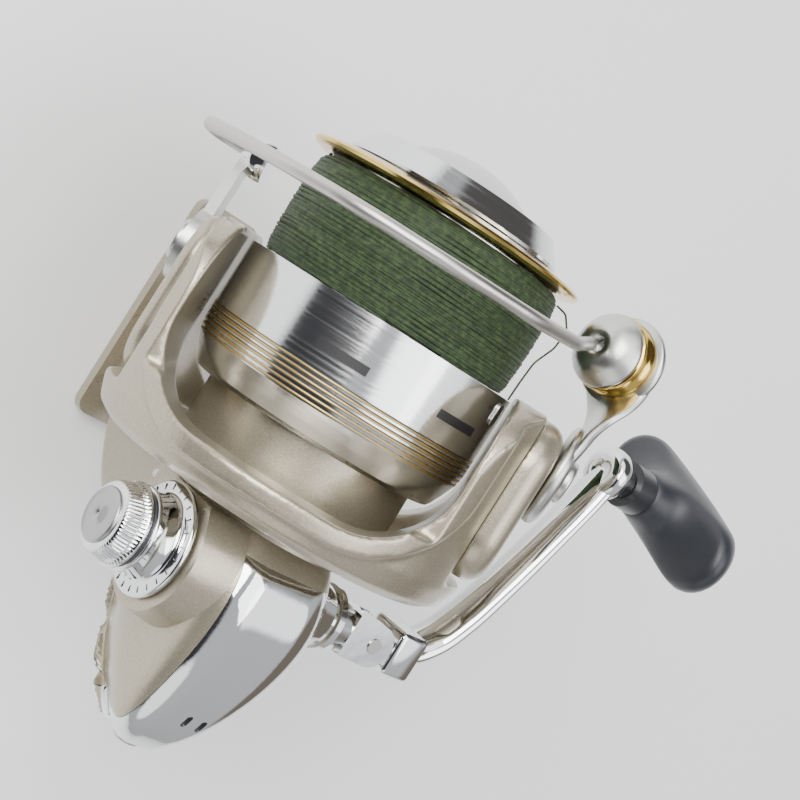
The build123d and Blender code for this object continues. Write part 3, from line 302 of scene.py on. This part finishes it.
def turned(name, color, roughness, axis_origin, axis, pitch=0.00018, strength=0.06):
    """Lathe-turned metal: fine rings about an axis, as bump and as roughness."""
    mat = material(name, color, 1.0, roughness)
    n = Nodes(mat)
    spin = X.rotation_difference(axis).inverted().to_euler()
    shift = n.add("ShaderNodeVectorMath", operation="SUBTRACT")
    shift.inputs[1].default_value = axis_origin
    n.link(n.place, shift.inputs[0])
    turn = n.add("ShaderNodeMapping")
    turn.inputs["Rotation"].default_value = spin
    n.link(shift.outputs["Vector"], turn.inputs["Vector"])
    split = n.add("ShaderNodeSeparateXYZ")
    n.link(turn.outputs["Vector"], split.inputs["Vector"])
    length = n.add("ShaderNodeVectorMath", operation="LENGTH")
    flat = n.add("ShaderNodeCombineXYZ")
    n.link(split.outputs["Y"], flat.inputs["Y"])
    n.link(split.outputs["Z"], flat.inputs["Z"])
    n.link(flat.outputs["Vector"], length.inputs[0])
    ring_place = n.add("ShaderNodeCombineXYZ")
    n.link(length.outputs["Value"], ring_place.inputs["X"])
    n.link(split.outputs["X"], ring_place.inputs["Y"])
    rings = n.add("ShaderNodeTexNoise", Scale=1 / pitch / 3, Detail=2.0)
    n.link(ring_place.outputs["Vector"], rings.inputs["Vector"])
    n.to(n.span(rings.outputs["Fac"], 0.3, 0.7, max(0.02, roughness - 0.04), roughness + 0.06), "Roughness")
    n.to(n.bump(rings.outputs["Fac"], strength, 0.0001), "Normal")
    return mat


def rubber(name, color, roughness):
    """Soft-touch rubber: fine grain, slight dusty sheen and uneven gloss."""
    mat = material(name, color, 0.0, roughness, Sheen_Weight=0.12, Sheen_Roughness=0.5)
    n = Nodes(mat)
    n.to(n.ramp(n.noise(70, 4), (0.35, tinted(color, 0.85)), (0.7, tinted(color, 1.25))), "Base Color")
    n.to(n.span(n.noise(120, 3), 0.3, 0.7, roughness - 0.06, roughness + 0.06), "Roughness")
    n.to(n.bump(n.noise(3200, 1), 0.08, 0.0003), "Normal")
    return mat


def braid(name, dark, middle, light):
    """Braided line: a chequer of tiny strands with worn, lighter fibres and dirt between."""
    mat = material(name, middle, 0.0, 0.66, Sheen_Weight=0.06, Sheen_Roughness=0.4)
    n = Nodes(mat)
    n.to(n.ramp(n.noise(900, 5, 0.7), (0.28, dark), (0.5, middle), (0.74, light)), "Base Color")
    n.to(n.bump(n.noise(5200, 2), 0.45, 0.00012), "Normal")
    return mat


CHAMPAGNE = champagne_paint("champagne_lacquer")
CHROME = plated("bright_chrome", (0.83, 0.84, 0.85), 0.035)
SATIN = brushed("satin_steel", (0.60, 0.59, 0.57), 0.26, stretch=(6, 1, 6))
BAIL_SATIN = plated("bail_satin", (0.56, 0.545, 0.52), 0.33, ripple=0.04)
SILVER = turned("turned_silver", (0.80, 0.81, 0.82), 0.13, AXIS, Y)
KNOB_SILVER = turned("knob_silver", (0.80, 0.81, 0.82), 0.10, AXIS, Y)
DOME = plated("dome_polish", (0.66, 0.665, 0.66), 0.16, ripple=0.01, metallic=0.9)
GOLD = turned("gold_anodising", (0.83, 0.60, 0.20), 0.14, AXIS, Y)
ROLLER_GOLD = turned("roller_gold", (0.80, 0.55, 0.14), 0.12, ROLLER, ROLLER_DIR)
BRASS = plated("machined_brass", (0.72, 0.55, 0.25), 0.24)
ALLOY = plated("cast_alloy", (0.50, 0.50, 0.49), 0.38, ripple=0.08)
SPUN = turned("spun_cap_face", (0.42, 0.42, 0.42), 0.30, CRANK, X, pitch=0.00012, strength=0.16)
LINE = braid("green_braid", (0.006, 0.013, 0.004), (0.022, 0.043, 0.012), (0.060, 0.105, 0.030))
RUBBER = rubber("black_rubber", (0.016, 0.018, 0.024), 0.42)
BLACK = rubber("black_plastic", (0.014, 0.015, 0.018), 0.30)
FELT = braid("grey_felt", (0.16, 0.15, 0.13), (0.30, 0.29, 0.26), (0.42, 0.41, 0.37))
SLOT_MATERIALS = {
    "champagne_paint": CHAMPAGNE, "chrome": CHROME, "satin_steel": SATIN, "spool_silver": SILVER,
    "dome_silver": DOME, "gold_anodised": GOLD, "braided_line": LINE, "black_rubber": RUBBER,
    "black_plastic": BLACK, "gear_brass": BRASS, "gear_alloy": ALLOY, "grey_felt": FELT}
DISH = plated("satin_silver", (0.62, 0.62, 0.60), 0.30)
NODE_MATERIALS = {
    "roller_support": DISH, "bail_arm": DISH, "bail_pivot_screws": DISH, "bail_lever": DISH,
    "drag_knob": KNOB_SILVER, "cap_face": SPUN, "line_roller": ROLLER_GOLD, "bail_wire": BAIL_SATIN}

for entry in frame["record"]["subparts"]:
    node = frame["nodes"][entry["node"]]
    finish = NODE_MATERIALS.get(entry["node"], SLOT_MATERIALS[entry["material_slot"]])
    for index in range(max(1, len(node.material_slots))):
        if not node.material_slots:
            node.data.materials.append(finish)
        node.material_slots[index].material = finish

BODY_OF = {node: body for body, nodes in frame["record"]["behaviour"]["bodies"].items() for node in nodes}
SLOT_OF = {entry["node"]: entry["material_slot"] for entry in frame["record"]["subparts"]}


def finish_of(node):
    return NODE_MATERIALS.get(node, SLOT_MATERIALS[SLOT_OF[node]])


# -------------------------------------------------- cast pieces with rounded edges

def cad_copy(node):
    """An editable copy of a CAD node's mesh, in place and with its seams welded."""
    source = frame["nodes"][node]
    bm = bmesh.new()
    bm.from_mesh(source.data)
    bm.transform(source.matrix_world)
    bmesh.ops.remove_doubles(bm, verts=bm.verts, dist=2e-6)
    return bm


def softened(node, voxel, rounds, bend=None):
    """Stands for a CAD node with the same shape, its edges worn round as a casting's are."""
    bm = cad_copy(node)
    rough_mesh = bpy.data.meshes.new(node + "_rough")
    bm.to_mesh(rough_mesh)
    bm.free()
    rough = bpy.data.objects.new(node + "_rough", rough_mesh)
    bpy.context.scene.collection.objects.link(rough)
    remesh = rough.modifiers.new("remesh", "REMESH")
    remesh.mode = "VOXEL"
    remesh.voxel_size = voxel * MM
    smooth = rough.modifiers.new("smooth", "SMOOTH")
    smooth.factor, smooth.iterations = 0.5, rounds
    evaluated = rough.evaluated_get(bpy.context.evaluated_depsgraph_get())
    mesh = bpy.data.meshes.new_from_object(evaluated)
    bpy.data.objects.remove(rough)
    mesh.name = node + "_cast"
    if bend:
        for vertex in mesh.vertices:
            vertex.co = bend(vertex.co)
    mesh.materials.clear()
    piece = new_object(node + "_cast", mesh, BODY_OF[node], finish_of(node))
    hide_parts(node)


def bowed(point):
    """Bows the knob's paddle: its two ends lie nearer to the crank than its middle."""
    away = Vector((0, point.y - KNOB.y, point.z - KNOB.z)).length / 0.021
    outer = min(max((point.x - 0.072) / 0.006, 0.0), 1.0)
    return Vector((point.x - 0.0034 * outer * away ** 2, point.y, point.z))


SOFT_CASTINGS = (("rotor", 0.42, 9), ("arm_cover_lever_side", 0.35, 5), ("arm_cover_bail_side", 0.35, 5),
                 ("anti_reverse_lever", 0.2, 5))
for node, voxel, rounds in SOFT_CASTINGS:
    softened(node, voxel, rounds)
softened("knob_grip", 0.5, 22, bowed)

# -------------------------------------------------- gear case with its slanted lower left side

# Along the spool axis: the left wall's x and the lowest z of the solid case, then where the slanted
# side leaves the bottom (its x and z) and the z where it meets the left wall, all in mm
SLANT = np.array([
    (-60.5, 8.0, 65.0, 4.4, 65.0, 71.5),
    (-57.0, 11.0, 57.0, 3.6, 57.0, 72.5),
    (-50.0, 12.4, 48.0, 3.6, 48.0, 66.0),
    (-40.0, 13.2, 45.0, 5.6, 45.0, 59.0),
    (-28.0, 13.4, 44.5, 9.8, 44.5, 52.0),
    (-18.0, 12.7, 45.0, 12.7, 45.0, 47.0)])
CORNER = 6.4
SOFT_BEND = 1.6
# The slant fades out below the case, and forward of it towards the rotor
FADE_BELOW, FADE_HEIGHT = 9.0, 5.0
FRONT_END, FADE_LENGTH = -16.5, 4.0


def slanted(point):
    """Moves a point of the case inward where the slanted side cuts its lower left corner."""
    if point.x >= 0:
        return point
    y, z = point.y / MM, point.z / MM
    wall, low, slant_x, slant_low, slant_high = (np.interp(y, SLANT[:, 0], SLANT[:, k]) for k in range(1, 6))
    rise = min(max(z - low, 0.0), CORNER)
    solid = wall - CORNER + sqrt(CORNER ** 2 - (CORNER - rise) ** 2)
    along = (z - slant_low) / (slant_high - slant_low)
    wanted = slant_x + (wall - slant_x) * along
    # a soft bend where the slant meets the wall
    gap = (wall - wanted) / SOFT_BEND
    wanted = wall - SOFT_BEND * (np.log1p(np.exp(min(gap, 30.0))))
    factor = min(1.0, max(wanted, 0.15 * wall) / solid)
    fade = min(max((z - slant_low + FADE_BELOW) / FADE_HEIGHT, 0.0), 1.0)
    fade *= min(max((FRONT_END - y) / FADE_LENGTH, 0.0), 1.0)
    return Vector((point.x * (1 - (1 - factor) * fade), point.y, point.z))


def reshaped(node, longest=2.2):
    """Stands for a CAD node of the case, with its mesh divided finely enough to take the slant."""
    bm = cad_copy(node)
    bmesh.ops.triangulate(bm, faces=bm.faces)
    for _ in range(6):
        long_edges = [edge for edge in bm.edges if edge.calc_length() > longest * MM
                      and min(v.co.x for v in edge.verts) < 0.001 and max(v.co.z for v in edge.verts) > 0.038]
        if not long_edges:
            break
        bmesh.ops.subdivide_edges(bm, edges=long_edges, cuts=1)
        bmesh.ops.triangulate(bm, faces=bm.faces)
    for edge in bm.edges:
        if len(edge.link_faces) == 2 and edge.calc_face_angle(0.0) > radians(24):
            edge.smooth = False
    for vertex in bm.verts:
        vertex.co = slanted(vertex.co)
    mesh = bpy.data.meshes.new(node + "_slanted")
    bm.to_mesh(mesh)
    bm.free()
    piece = new_object(node + "_slanted", mesh, BODY_OF[node], finish_of(node))
    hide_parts(node)


for node in ("body_housing", "side_cover", "rear_cover", "side_cover_screws"):
    reshaped(node)

# -------------------------------------------------- handle arm

CRANK_UP = (KNOB - CRANK)
CRANK_UP.x = 0.0
CRANK_UP.normalize()
ACROSS = X.cross(CRANK_UP)


def on_arm(out, along):
    return HINGE + (X * out + CRANK_UP * along) * MM


def swept(path, half_wide, half_thick, sides=40, power=1.6):
    """A bar along a path in the crank's plane; its section is a soft-cornered lozenge."""
    rings = []
    for i, p in enumerate(path):
        tangent = (path[min(i + 1, len(path) - 1)] - path[max(i - 1, 0)]).normalized()
        thin = ACROSS.cross(tangent).normalized()
        t = i / (len(path) - 1)
        ring = []
        for k in range(sides):
            a = 2 * pi * k / sides
            c, s = cos(a), sin(a)
            ring.append(p + ACROSS * (abs(c) ** (2 / power) * (1 if c > 0 else -1) * half_wide(t) * MM)
                        + thin * (abs(s) ** (2 / power) * (1 if s > 0 else -1) * half_thick(t) * MM))
        rings.append(ring)
    return skin(rings)


def box_points(centre, half, bevel=0.9):
    """A block with rounded edges, square to the frame's X, Y and Z axes."""
    bm = bmesh.new()
    bmesh.ops.create_cube(bm, size=2.0)
    for v in bm.verts:
        v.co = Vector((v.co.x * half[0], v.co.y * half[1], v.co.z * half[2])) * MM
    bmesh.ops.bevel(bm, geom=bm.edges[:], offset=bevel * MM, segments=4, affect="EDGES", profile=0.5)
    bm.verts.ensure_lookup_table()
    points = [centre + X * v.co.x + Y * v.co.y + Z * v.co.z for v in bm.verts]
    faces = [tuple(v.index for v in face.verts) for face in bm.faces]
    bm.free()
    return points, faces


def joined(name, *groups):
    points, faces = [], []
    for group_points, group_faces in groups:
        start = len(points)
        points += list(group_points)
        faces += [tuple(i + start for i in face) for face in group_faces]
    mesh = mesh_from(name, points, faces)
    outward(mesh)
    return mesh


def as_group(mesh):
    group = ([v.co.copy() for v in mesh.vertices], [tuple(p.vertices) for p in mesh.polygons])
    bpy.data.meshes.remove(mesh)
    return group


BAR = ((6.5, 0.0), (11.0, 1.4), (15.2, 5.2), (18.4, 11.4), (21.2, 20.0), (24.6, 33.0), (27.4, 45.5), (28.0, 49.6))
bar_path = smooth_path([on_arm(out, along) for out, along in BAR], step=0.5)
boss = Vector((HINGE.x + 0.028, KNOB.y, KNOB.z))
arm_mesh = joined(
    "handle_bar",
    swept(bar_path, lambda t: 5.0 - 0.7 * t, lambda t: 3.2 - 0.8 * t),
    box_points(HINGE + X * 0.0082 + Y * 0.0004, (3.5, 4.6, 5.2), 1.3),
    as_group(lathe("tongue", [(1.56, -2.0), (3.9, -2.0), (4.0, -1.8), (4.0, 1.8), (3.9, 2.0), (1.56, 2.0)],
                   HINGE, Z, steps=96)),
    as_group(lathe("boss", [(0.01, -2.3), (3.6, -2.3), (4.6, -1.9), (5.2, -1.0), (5.25, 0.6), (4.8, 1.6),
                            (4.0, 2.0), (0.01, 2.0)], boss, X, steps=128)))
handle_bar = new_object("handle_bar", arm_mesh, "crank", CHROME)
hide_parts("handle_arm")

# -------------------------------------------------- wound line

WINDING = [(22.9, 23.7), (24.0, 24.3), (28.0, 24.55), (34.0, 24.6), (39.0, 24.45), (41.2, 24.0), (42.4, 23.0)]
winding_y, winding_r = zip(*WINDING)
WOUND_FROM, WOUND_TO = 23.15, 42.1
core_profile = [(15.05, 22.85)] + [(r - 0.42, y) for y, r in WINDING] + [(15.05, 42.45)]
core = as_group(lathe("core", core_profile, AXIS, Y))
strand_groups = [core]
for direction in (1, -1):
    for start in range(10):
        turns, count = 7, 7 * 84
        wander = random.uniform(0.05, 0.16)
        path = []
        for k in range(count + 1):
            t = k / count
            y = WOUND_FROM + (WOUND_TO - WOUND_FROM) * t
            angle = direction * 2 * pi * turns * t + 2 * pi * (start + 0.37 * direction) / 10
            r = np.interp(y, winding_y, winding_r) - 0.30 + (0.10 if direction > 0 else 0.0) \
                + wander * sin(angle * 0.31 + start) * sin(angle * 1.7)
            y += 0.22 * sin(angle * 0.53 + 2.1 * start)
            path.append(AXIS + Y * y * MM + (U * cos(angle) + W * sin(angle)) * r * MM)
        strand_groups.append(as_group(tube("strand", path, random.uniform(0.22, 0.34), sides=6)))
line_mesh = joined("line_winding", *strand_groups)
winding = new_object("line_winding", line_mesh, "spool", LINE)
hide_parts("fishing_line")

# -------------------------------------------------- lines and bars printed on the skirt

PRINT_GOLD = plated("print_gold", (0.62, 0.47, 0.20), 0.28)
# Black for the printed marks, also used as painted shade inside the rear cover's slots
PRINT_AND_SHADE_BLACK = material("print_and_shade_black", (0.02, 0.02, 0.022), 0.0, 0.35)
SKIRT_R = 26.5
RINGS, FIRST_RING, RING_PITCH = 6, 5.2, 0.95
RING_PRINTS = (("gold", PRINT_GOLD, 0.0, 0.42, 0.03), ("dark", PRINT_AND_SHADE_BLACK, 0.42, 0.6, 0.025))
for index in range(RINGS):
    y = FIRST_RING + index * RING_PITCH
    r = np.interp(y + 0.3, (2.4, 5.0, 7.5, 20.0), (25.0, 26.1, SKIRT_R, SKIRT_R))
    for name, finish, low, high, proud in RING_PRINTS:
        mesh = lathe(f"{name}_ring_{index}", [(r - 0.3, y + low), (r + proud, y + low), (r + proud, y + high),
                                              (r - 0.3, y + high)], AXIS, Y)
        new_object(mesh.name, mesh, "spool", finish)


def skirt_bar(name, start, end, low, high):
    """A thin printed bar on the skirt between two angles round the spool axis, in degrees."""
    steps = 24
    rings = []
    for k in range(steps + 1):
        a = radians(start + (end - start) * k / steps)
        way = U * cos(a) + W * sin(a)
        rings.append([AXIS + way * r * MM + Y * y * MM for r, y in (
            (SKIRT_R - 0.04, low), (SKIRT_R + 0.02, low), (SKIRT_R + 0.02, high), (SKIRT_R - 0.04, high))])
    mesh = mesh_from(name, *skin(rings))
    outward(mesh)
    new_object(name, mesh, "spool", PRINT_AND_SHADE_BLACK, smooth=False)


skirt_bar("skirt_bar_left", 81, 102, 13.6, 15.3)
skirt_bar("skirt_bar_right", 27, 50, 14.2, 15.8)

# -------------------------------------------------- bail arm, roller and dish

def roller_piece(name, profile, finish, node, body):
    """A piece turned about the line roller's axis, which stands for a CAD node."""
    piece = new_object(name, lathe(name, profile, ROLLER, ROLLER_DIR, steps=160), body, finish)
    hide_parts(node)


roller_piece("roller_dish", [
    (1.55, -2.45), (6.6, -2.45), (6.9, -2.7), (6.65, -3.2), (6.0, -3.9), (5.2, -4.9), (4.2, -5.7), (2.8, -6.3),
    (1.55, -6.5)], DISH, "roller_support", "bail")
roller_piece("roller_ring", [
    (3.06, -2.2), (6.9, -2.2), (7.1, -1.8), (6.6, -0.9), (6.1, 0.0), (6.6, 0.9), (7.1, 1.6), (6.9, 2.0),
    (3.06, 2.0)], ROLLER_GOLD, "line_roller", "line_roller")

PIVOT = AXIS + Y * 0.016
END = ROLLER + ROLLER_DIR * 3.75 * MM
TILTED = U * ROLLER_DIR.dot(-W) + W * ROLLER_DIR.dot(U)
blade_rings = []
for step in range(25):
    t = step / 24
    late = max(t - 0.3, 0.0) / 0.7
    ease = late * late * (3 - 2 * late)
    root = rp(39.9, 19.0, 0.0)
    centre = root.lerp(END - Y * 2.0 * MM, t) + U * (1.3 * sin(pi * t)) * MM
    wide_way = (W * (1 - ease) + TILTED * ease).normalized()
    thin_way = wide_way.cross(Y).normalized()
    wide = np.interp(t, (0, 0.25, 0.55, 0.8, 1), (8.8, 7.9, 6.3, 6.9, 7.6)) * MM
    thin = 1.22 * MM
    ring = []
    for k in range(48):
        a = 2 * pi * k / 48
        c, q = cos(a), sin(a)
        ring.append(centre + wide_way * (abs(c) ** 0.6 * (1 if c > 0 else -1) * wide)
                    + thin_way * (abs(q) ** 0.6 * (1 if q > 0 else -1) * thin))
    blade_rings.append(ring)
arm_mesh = joined(
    "bail_blade", skin(blade_rings),
    as_group(lathe("root", [(2.06, 38.5), (8.6, 38.5), (9.4, 38.8), (9.6, 39.6), (9.3, 40.5), (8.4, 41.1),
                            (2.06, 41.1)], PIVOT, U)),
    as_group(lathe("end", [(1.52, 2.5), (7.9, 2.5), (8.2, 2.8), (8.2, 3.6), (7.6, 4.5), (6.4, 4.8),
                           (1.52, 4.8)], ROLLER, ROLLER_DIR)))
blade = new_object("bail_blade", arm_mesh, "bail", DISH)
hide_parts("bail_arm")

# -------------------------------------------------- handle screw cap

CAP_ORIGIN = Vector((0, CRANK.y, CRANK.z))
# The knurl: which rings of the grip's profile it is cut into, and how deep, in mm
KNURLED, KNURL_DEPTH = range(4, 7), 0.24


def cap_piece(name, node, profile, finish, grooves=0):
    """A piece turned about the handle axis from (x, radius) in mm, with grooves round its middle rings."""
    steps = 6 * grooves if grooves else 144
    rings = []
    for index, (x, radius) in enumerate(profile):
        ring = []
        for k in range(steps):
            a = 2 * pi * k / steps
            cut = KNURL_DEPTH if grooves and k % 6 in (2, 3) and index in KNURLED else 0.0
            ring.append(CAP_ORIGIN + (X * x + (Y * cos(a) + Z * sin(a)) * (radius - cut)) * MM)
        rings.append(ring)
    points = [p for ring in rings for p in ring]
    mesh = mesh_from(name, points, grid_faces(len(rings), steps, wrap_rows=True))
    outward(mesh)
    piece = new_object(name, mesh, "cap", finish)
    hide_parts(node)


def black_block(name, corners, body):
    """A small black block from the four corners of one end and the four that face them."""
    mesh = mesh_from(name, corners, [
        (3, 2, 1, 0), (4, 5, 6, 7), (0, 1, 5, 4), (1, 2, 6, 5), (2, 3, 7, 6), (3, 0, 4, 7)])
    outward(mesh)
    new_object(name, mesh, body, PRINT_AND_SHADE_BLACK, smooth=False)


cap_piece("cap_flange", "cap_base", [
    (-19.1, 1.9), (-19.1, 9.9), (-19.2, 10.25), (-19.6, 10.4), (-20.1, 10.3), (-20.3, 10.0), (-20.45, 8.2),
    (-20.7, 7.7), (-21.4, 7.5), (-24.2, 7.3), (-24.6, 7.55), (-25.1, 7.6), (-25.3, 7.4), (-25.3, 1.9)], CHROME)
cap_piece("cap_ring", "cap_seal", [
    (-25.3, 1.9), (-25.3, 6.9), (-25.5, 7.05), (-25.9, 7.05), (-26.1, 6.9), (-26.1, 1.9)], RUBBER)
cap_piece("cap_grip", "cap_knob", [
    (-26.12, 1.9), (-26.12, 7.3), (-26.4, 7.6), (-26.9, 7.5), (-27.1, 7.1), (-28.6, 6.8), (-30.0, 6.4),
    (-30.4, 6.1), (-30.8, 5.6), (-30.8, 1.9)], CHROME, grooves=60)
cap_piece("cap_disc", "cap_face", [
    (-30.6, 0.02), (-30.6, 4.95), (-31.2, 4.95), (-31.5, 4.6), (-31.5, 0.02)], SPUN)

# Marks round the flange: their two faces' x, their inner and outer radius, and half their width, in mm
TICKS, TICK_X, TICK_IN, TICK_OUT, TICK_HALF = 24, (-20.28, -20.46), 8.6, 9.7, 0.09
for index in range(TICKS):
    a = 2 * pi * index / TICKS
    way = Y * cos(a) + Z * sin(a)
    along = X.cross(way)
    tick_ends = ((TICK_IN, -TICK_HALF), (TICK_OUT, -TICK_HALF), (TICK_OUT, TICK_HALF), (TICK_IN, TICK_HALF))
    black_block(f"flange_tick_{index}", [
        CAP_ORIGIN + (X * x + way * r + along * side) * MM for x in TICK_X for r, side in tick_ends], "cap")

# -------------------------------------------------- painted shade in the rear cover's slots: black blocks under them

SLOT_Y, SLOT_HALF_X, SLOT_HALF_Y, SLOT_HEIGHTS = -51.5, 0.54, 1.3, (78.5, 81.25)
# A black block under each slot is painted shade, standing in for the slot's dark depth
for name, slot_x in (("slot_shade_left", -2.4), ("slot_shade_right", 0.8)):
    slot_corners = ((-SLOT_HALF_X, -SLOT_HALF_Y), (SLOT_HALF_X, -SLOT_HALF_Y), (SLOT_HALF_X, SLOT_HALF_Y),
                    (-SLOT_HALF_X, SLOT_HALF_Y))
    black_block(name, [
        Vector((slot_x + dx, SLOT_Y + dy, z)) * MM for z in SLOT_HEIGHTS for dx, dy in slot_corners], "root")

# -------------------------------------------------- floor, light and camera

floor_mesh = mesh_from("floor", [(-3, -3, 0), (3, -3, 0), (3, 3, 0), (-3, 3, 0)], [(0, 1, 2, 3)])
floor = bpy.data.objects.new("floor", floor_mesh)
bpy.context.scene.collection.objects.link(floor)
floor.location.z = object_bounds()[0].z - 0.0002
FLOOR = material("pale_floor", (0.88, 0.885, 0.88), 0.0, 0.55)
FLOOR.node_tree.nodes["Principled BSDF"].inputs["Emission Color"].default_value = (1, 1, 0.99, 1)
FLOOR.node_tree.nodes["Principled BSDF"].inputs["Emission Strength"].default_value = 0.16
floor_nodes = Nodes(FLOOR)
floor_shades = ((0.3, (0.87, 0.875, 0.87)), (0.7, (0.91, 0.915, 0.91)))
floor_nodes.to(floor_nodes.ramp(floor_nodes.noise(3, 4), *floor_shades), "Base Color")
floor_mesh.materials.append(FLOOR)


def area_light(name, direction, distance, size, power, color=(1, 1, 1)):
    """A soft square light that looks at the reel from a direction."""
    light = bpy.data.lights.new(name, "AREA")
    light.shape, light.size, light.energy, light.color = "SQUARE", size, power, color
    lamp = bpy.data.objects.new(name, light)
    bpy.context.scene.collection.objects.link(lamp)
    target = AXIS
    lamp.location = target + Vector(direction).normalized() * distance
    lamp.rotation_mode = "QUATERNION"
    lamp.rotation_quaternion = (target - lamp.location).to_track_quat("-Z", "Y")


area_light("window_light", (-0.75, 0.45, 0.75), 0.9, 0.55, 9.0, (1.0, 0.99, 0.97))
area_light("ceiling_light", (0.1, 0.2, 1.0), 1.2, 0.9, 9.0, (0.98, 0.99, 1.0))

world = bpy.data.worlds.new("studio")
bpy.context.scene.world = world
world.use_nodes = True
tree = world.node_tree
tree.nodes.clear()
where = tree.nodes.new("ShaderNodeTexCoord").outputs["Generated"]
output = tree.nodes.new("ShaderNodeOutputWorld")
background = tree.nodes.new("ShaderNodeBackground")
tree.links.new(background.outputs["Background"], output.inputs["Surface"])
background.inputs["Strength"].default_value = 1.0


def sky_disc(color_in, direction, low, high, color):
    """Lays a soft-edged disc of colour over the sky, round a direction; low and high are cosines."""
    dot = tree.nodes.new("ShaderNodeVectorMath")
    dot.operation = "DOT_PRODUCT"
    dot.inputs[1].default_value = Vector(direction).normalized()
    tree.links.new(where, dot.inputs[0])
    mask = tree.nodes.new("ShaderNodeMapRange")
    mask.interpolation_type = "SMOOTHSTEP"
    mask.inputs["From Min"].default_value = low
    mask.inputs["From Max"].default_value = high
    tree.links.new(dot.outputs["Value"], mask.inputs["Value"])
    mix = tree.nodes.new("ShaderNodeMix")
    mix.data_type = "RGBA"
    tree.links.new(mask.outputs["Result"], mix.inputs["Factor"])
    if isinstance(color_in, tuple):
        mix.inputs["A"].default_value = (*color_in, 1)
    else:
        tree.links.new(color_in, mix.inputs["A"])
    mix.inputs["B"].default_value = (*color, 1)
    return mix.outputs["Result"]


sky = sky_disc((0.50, 0.50, 0.50), (0, 0, 1), -0.2, 0.9, (0.62, 0.63, 0.65))
for direction, low, high, color in (
        ((-0.9, -0.3, 0.35), 0.75, 0.85, (0.05, 0.05, 0.055)),
        ((0.35, 0.9, 0.4), 0.80, 0.88, (0.10, 0.095, 0.09)),
        ((-0.45, 0.75, 0.5), 0.90, 0.94, (2.4, 2.4, 2.45)),
        ((0.5, 0.1, 0.9), 0.93, 0.96, (1.9, 1.9, 1.95)),
        ((-0.3, -0.8, 0.55), 0.94, 0.97, (1.6, 1.6, 1.6)),
        ((0.95, -0.2, 0.2), 0.86, 0.92, (0.20, 0.17, 0.14))):
    sky = sky_disc(sky, direction, low, high, color)
tree.links.new(sky, background.inputs["Color"])

camera_data = bpy.data.cameras.new("camera")
camera = bpy.data.objects.new("camera", camera_data)
bpy.context.scene.collection.objects.link(camera)
camera_data.lens = 76.5
camera_data.sensor_width = 36.0
camera_data.clip_start = 0.01
CAMERA_PLACE = Vector((-0.17652, 0.02131, 0.30477))
CAMERA_BACK = Vector((-0.6193, 0.0287, 0.7846)).normalized()
CAMERA_UP = Vector((-0.4048, 0.8446, -0.3504))
camera_right = CAMERA_UP.cross(CAMERA_BACK).normalized()
camera_up = CAMERA_BACK.cross(camera_right)
camera.matrix_world = Matrix.Translation(CAMERA_PLACE) @ Matrix(
    (camera_right, camera_up, CAMERA_BACK)).transposed().to_4x4()
bpy.context.scene.camera = camera

bpy.context.view_layer.update()
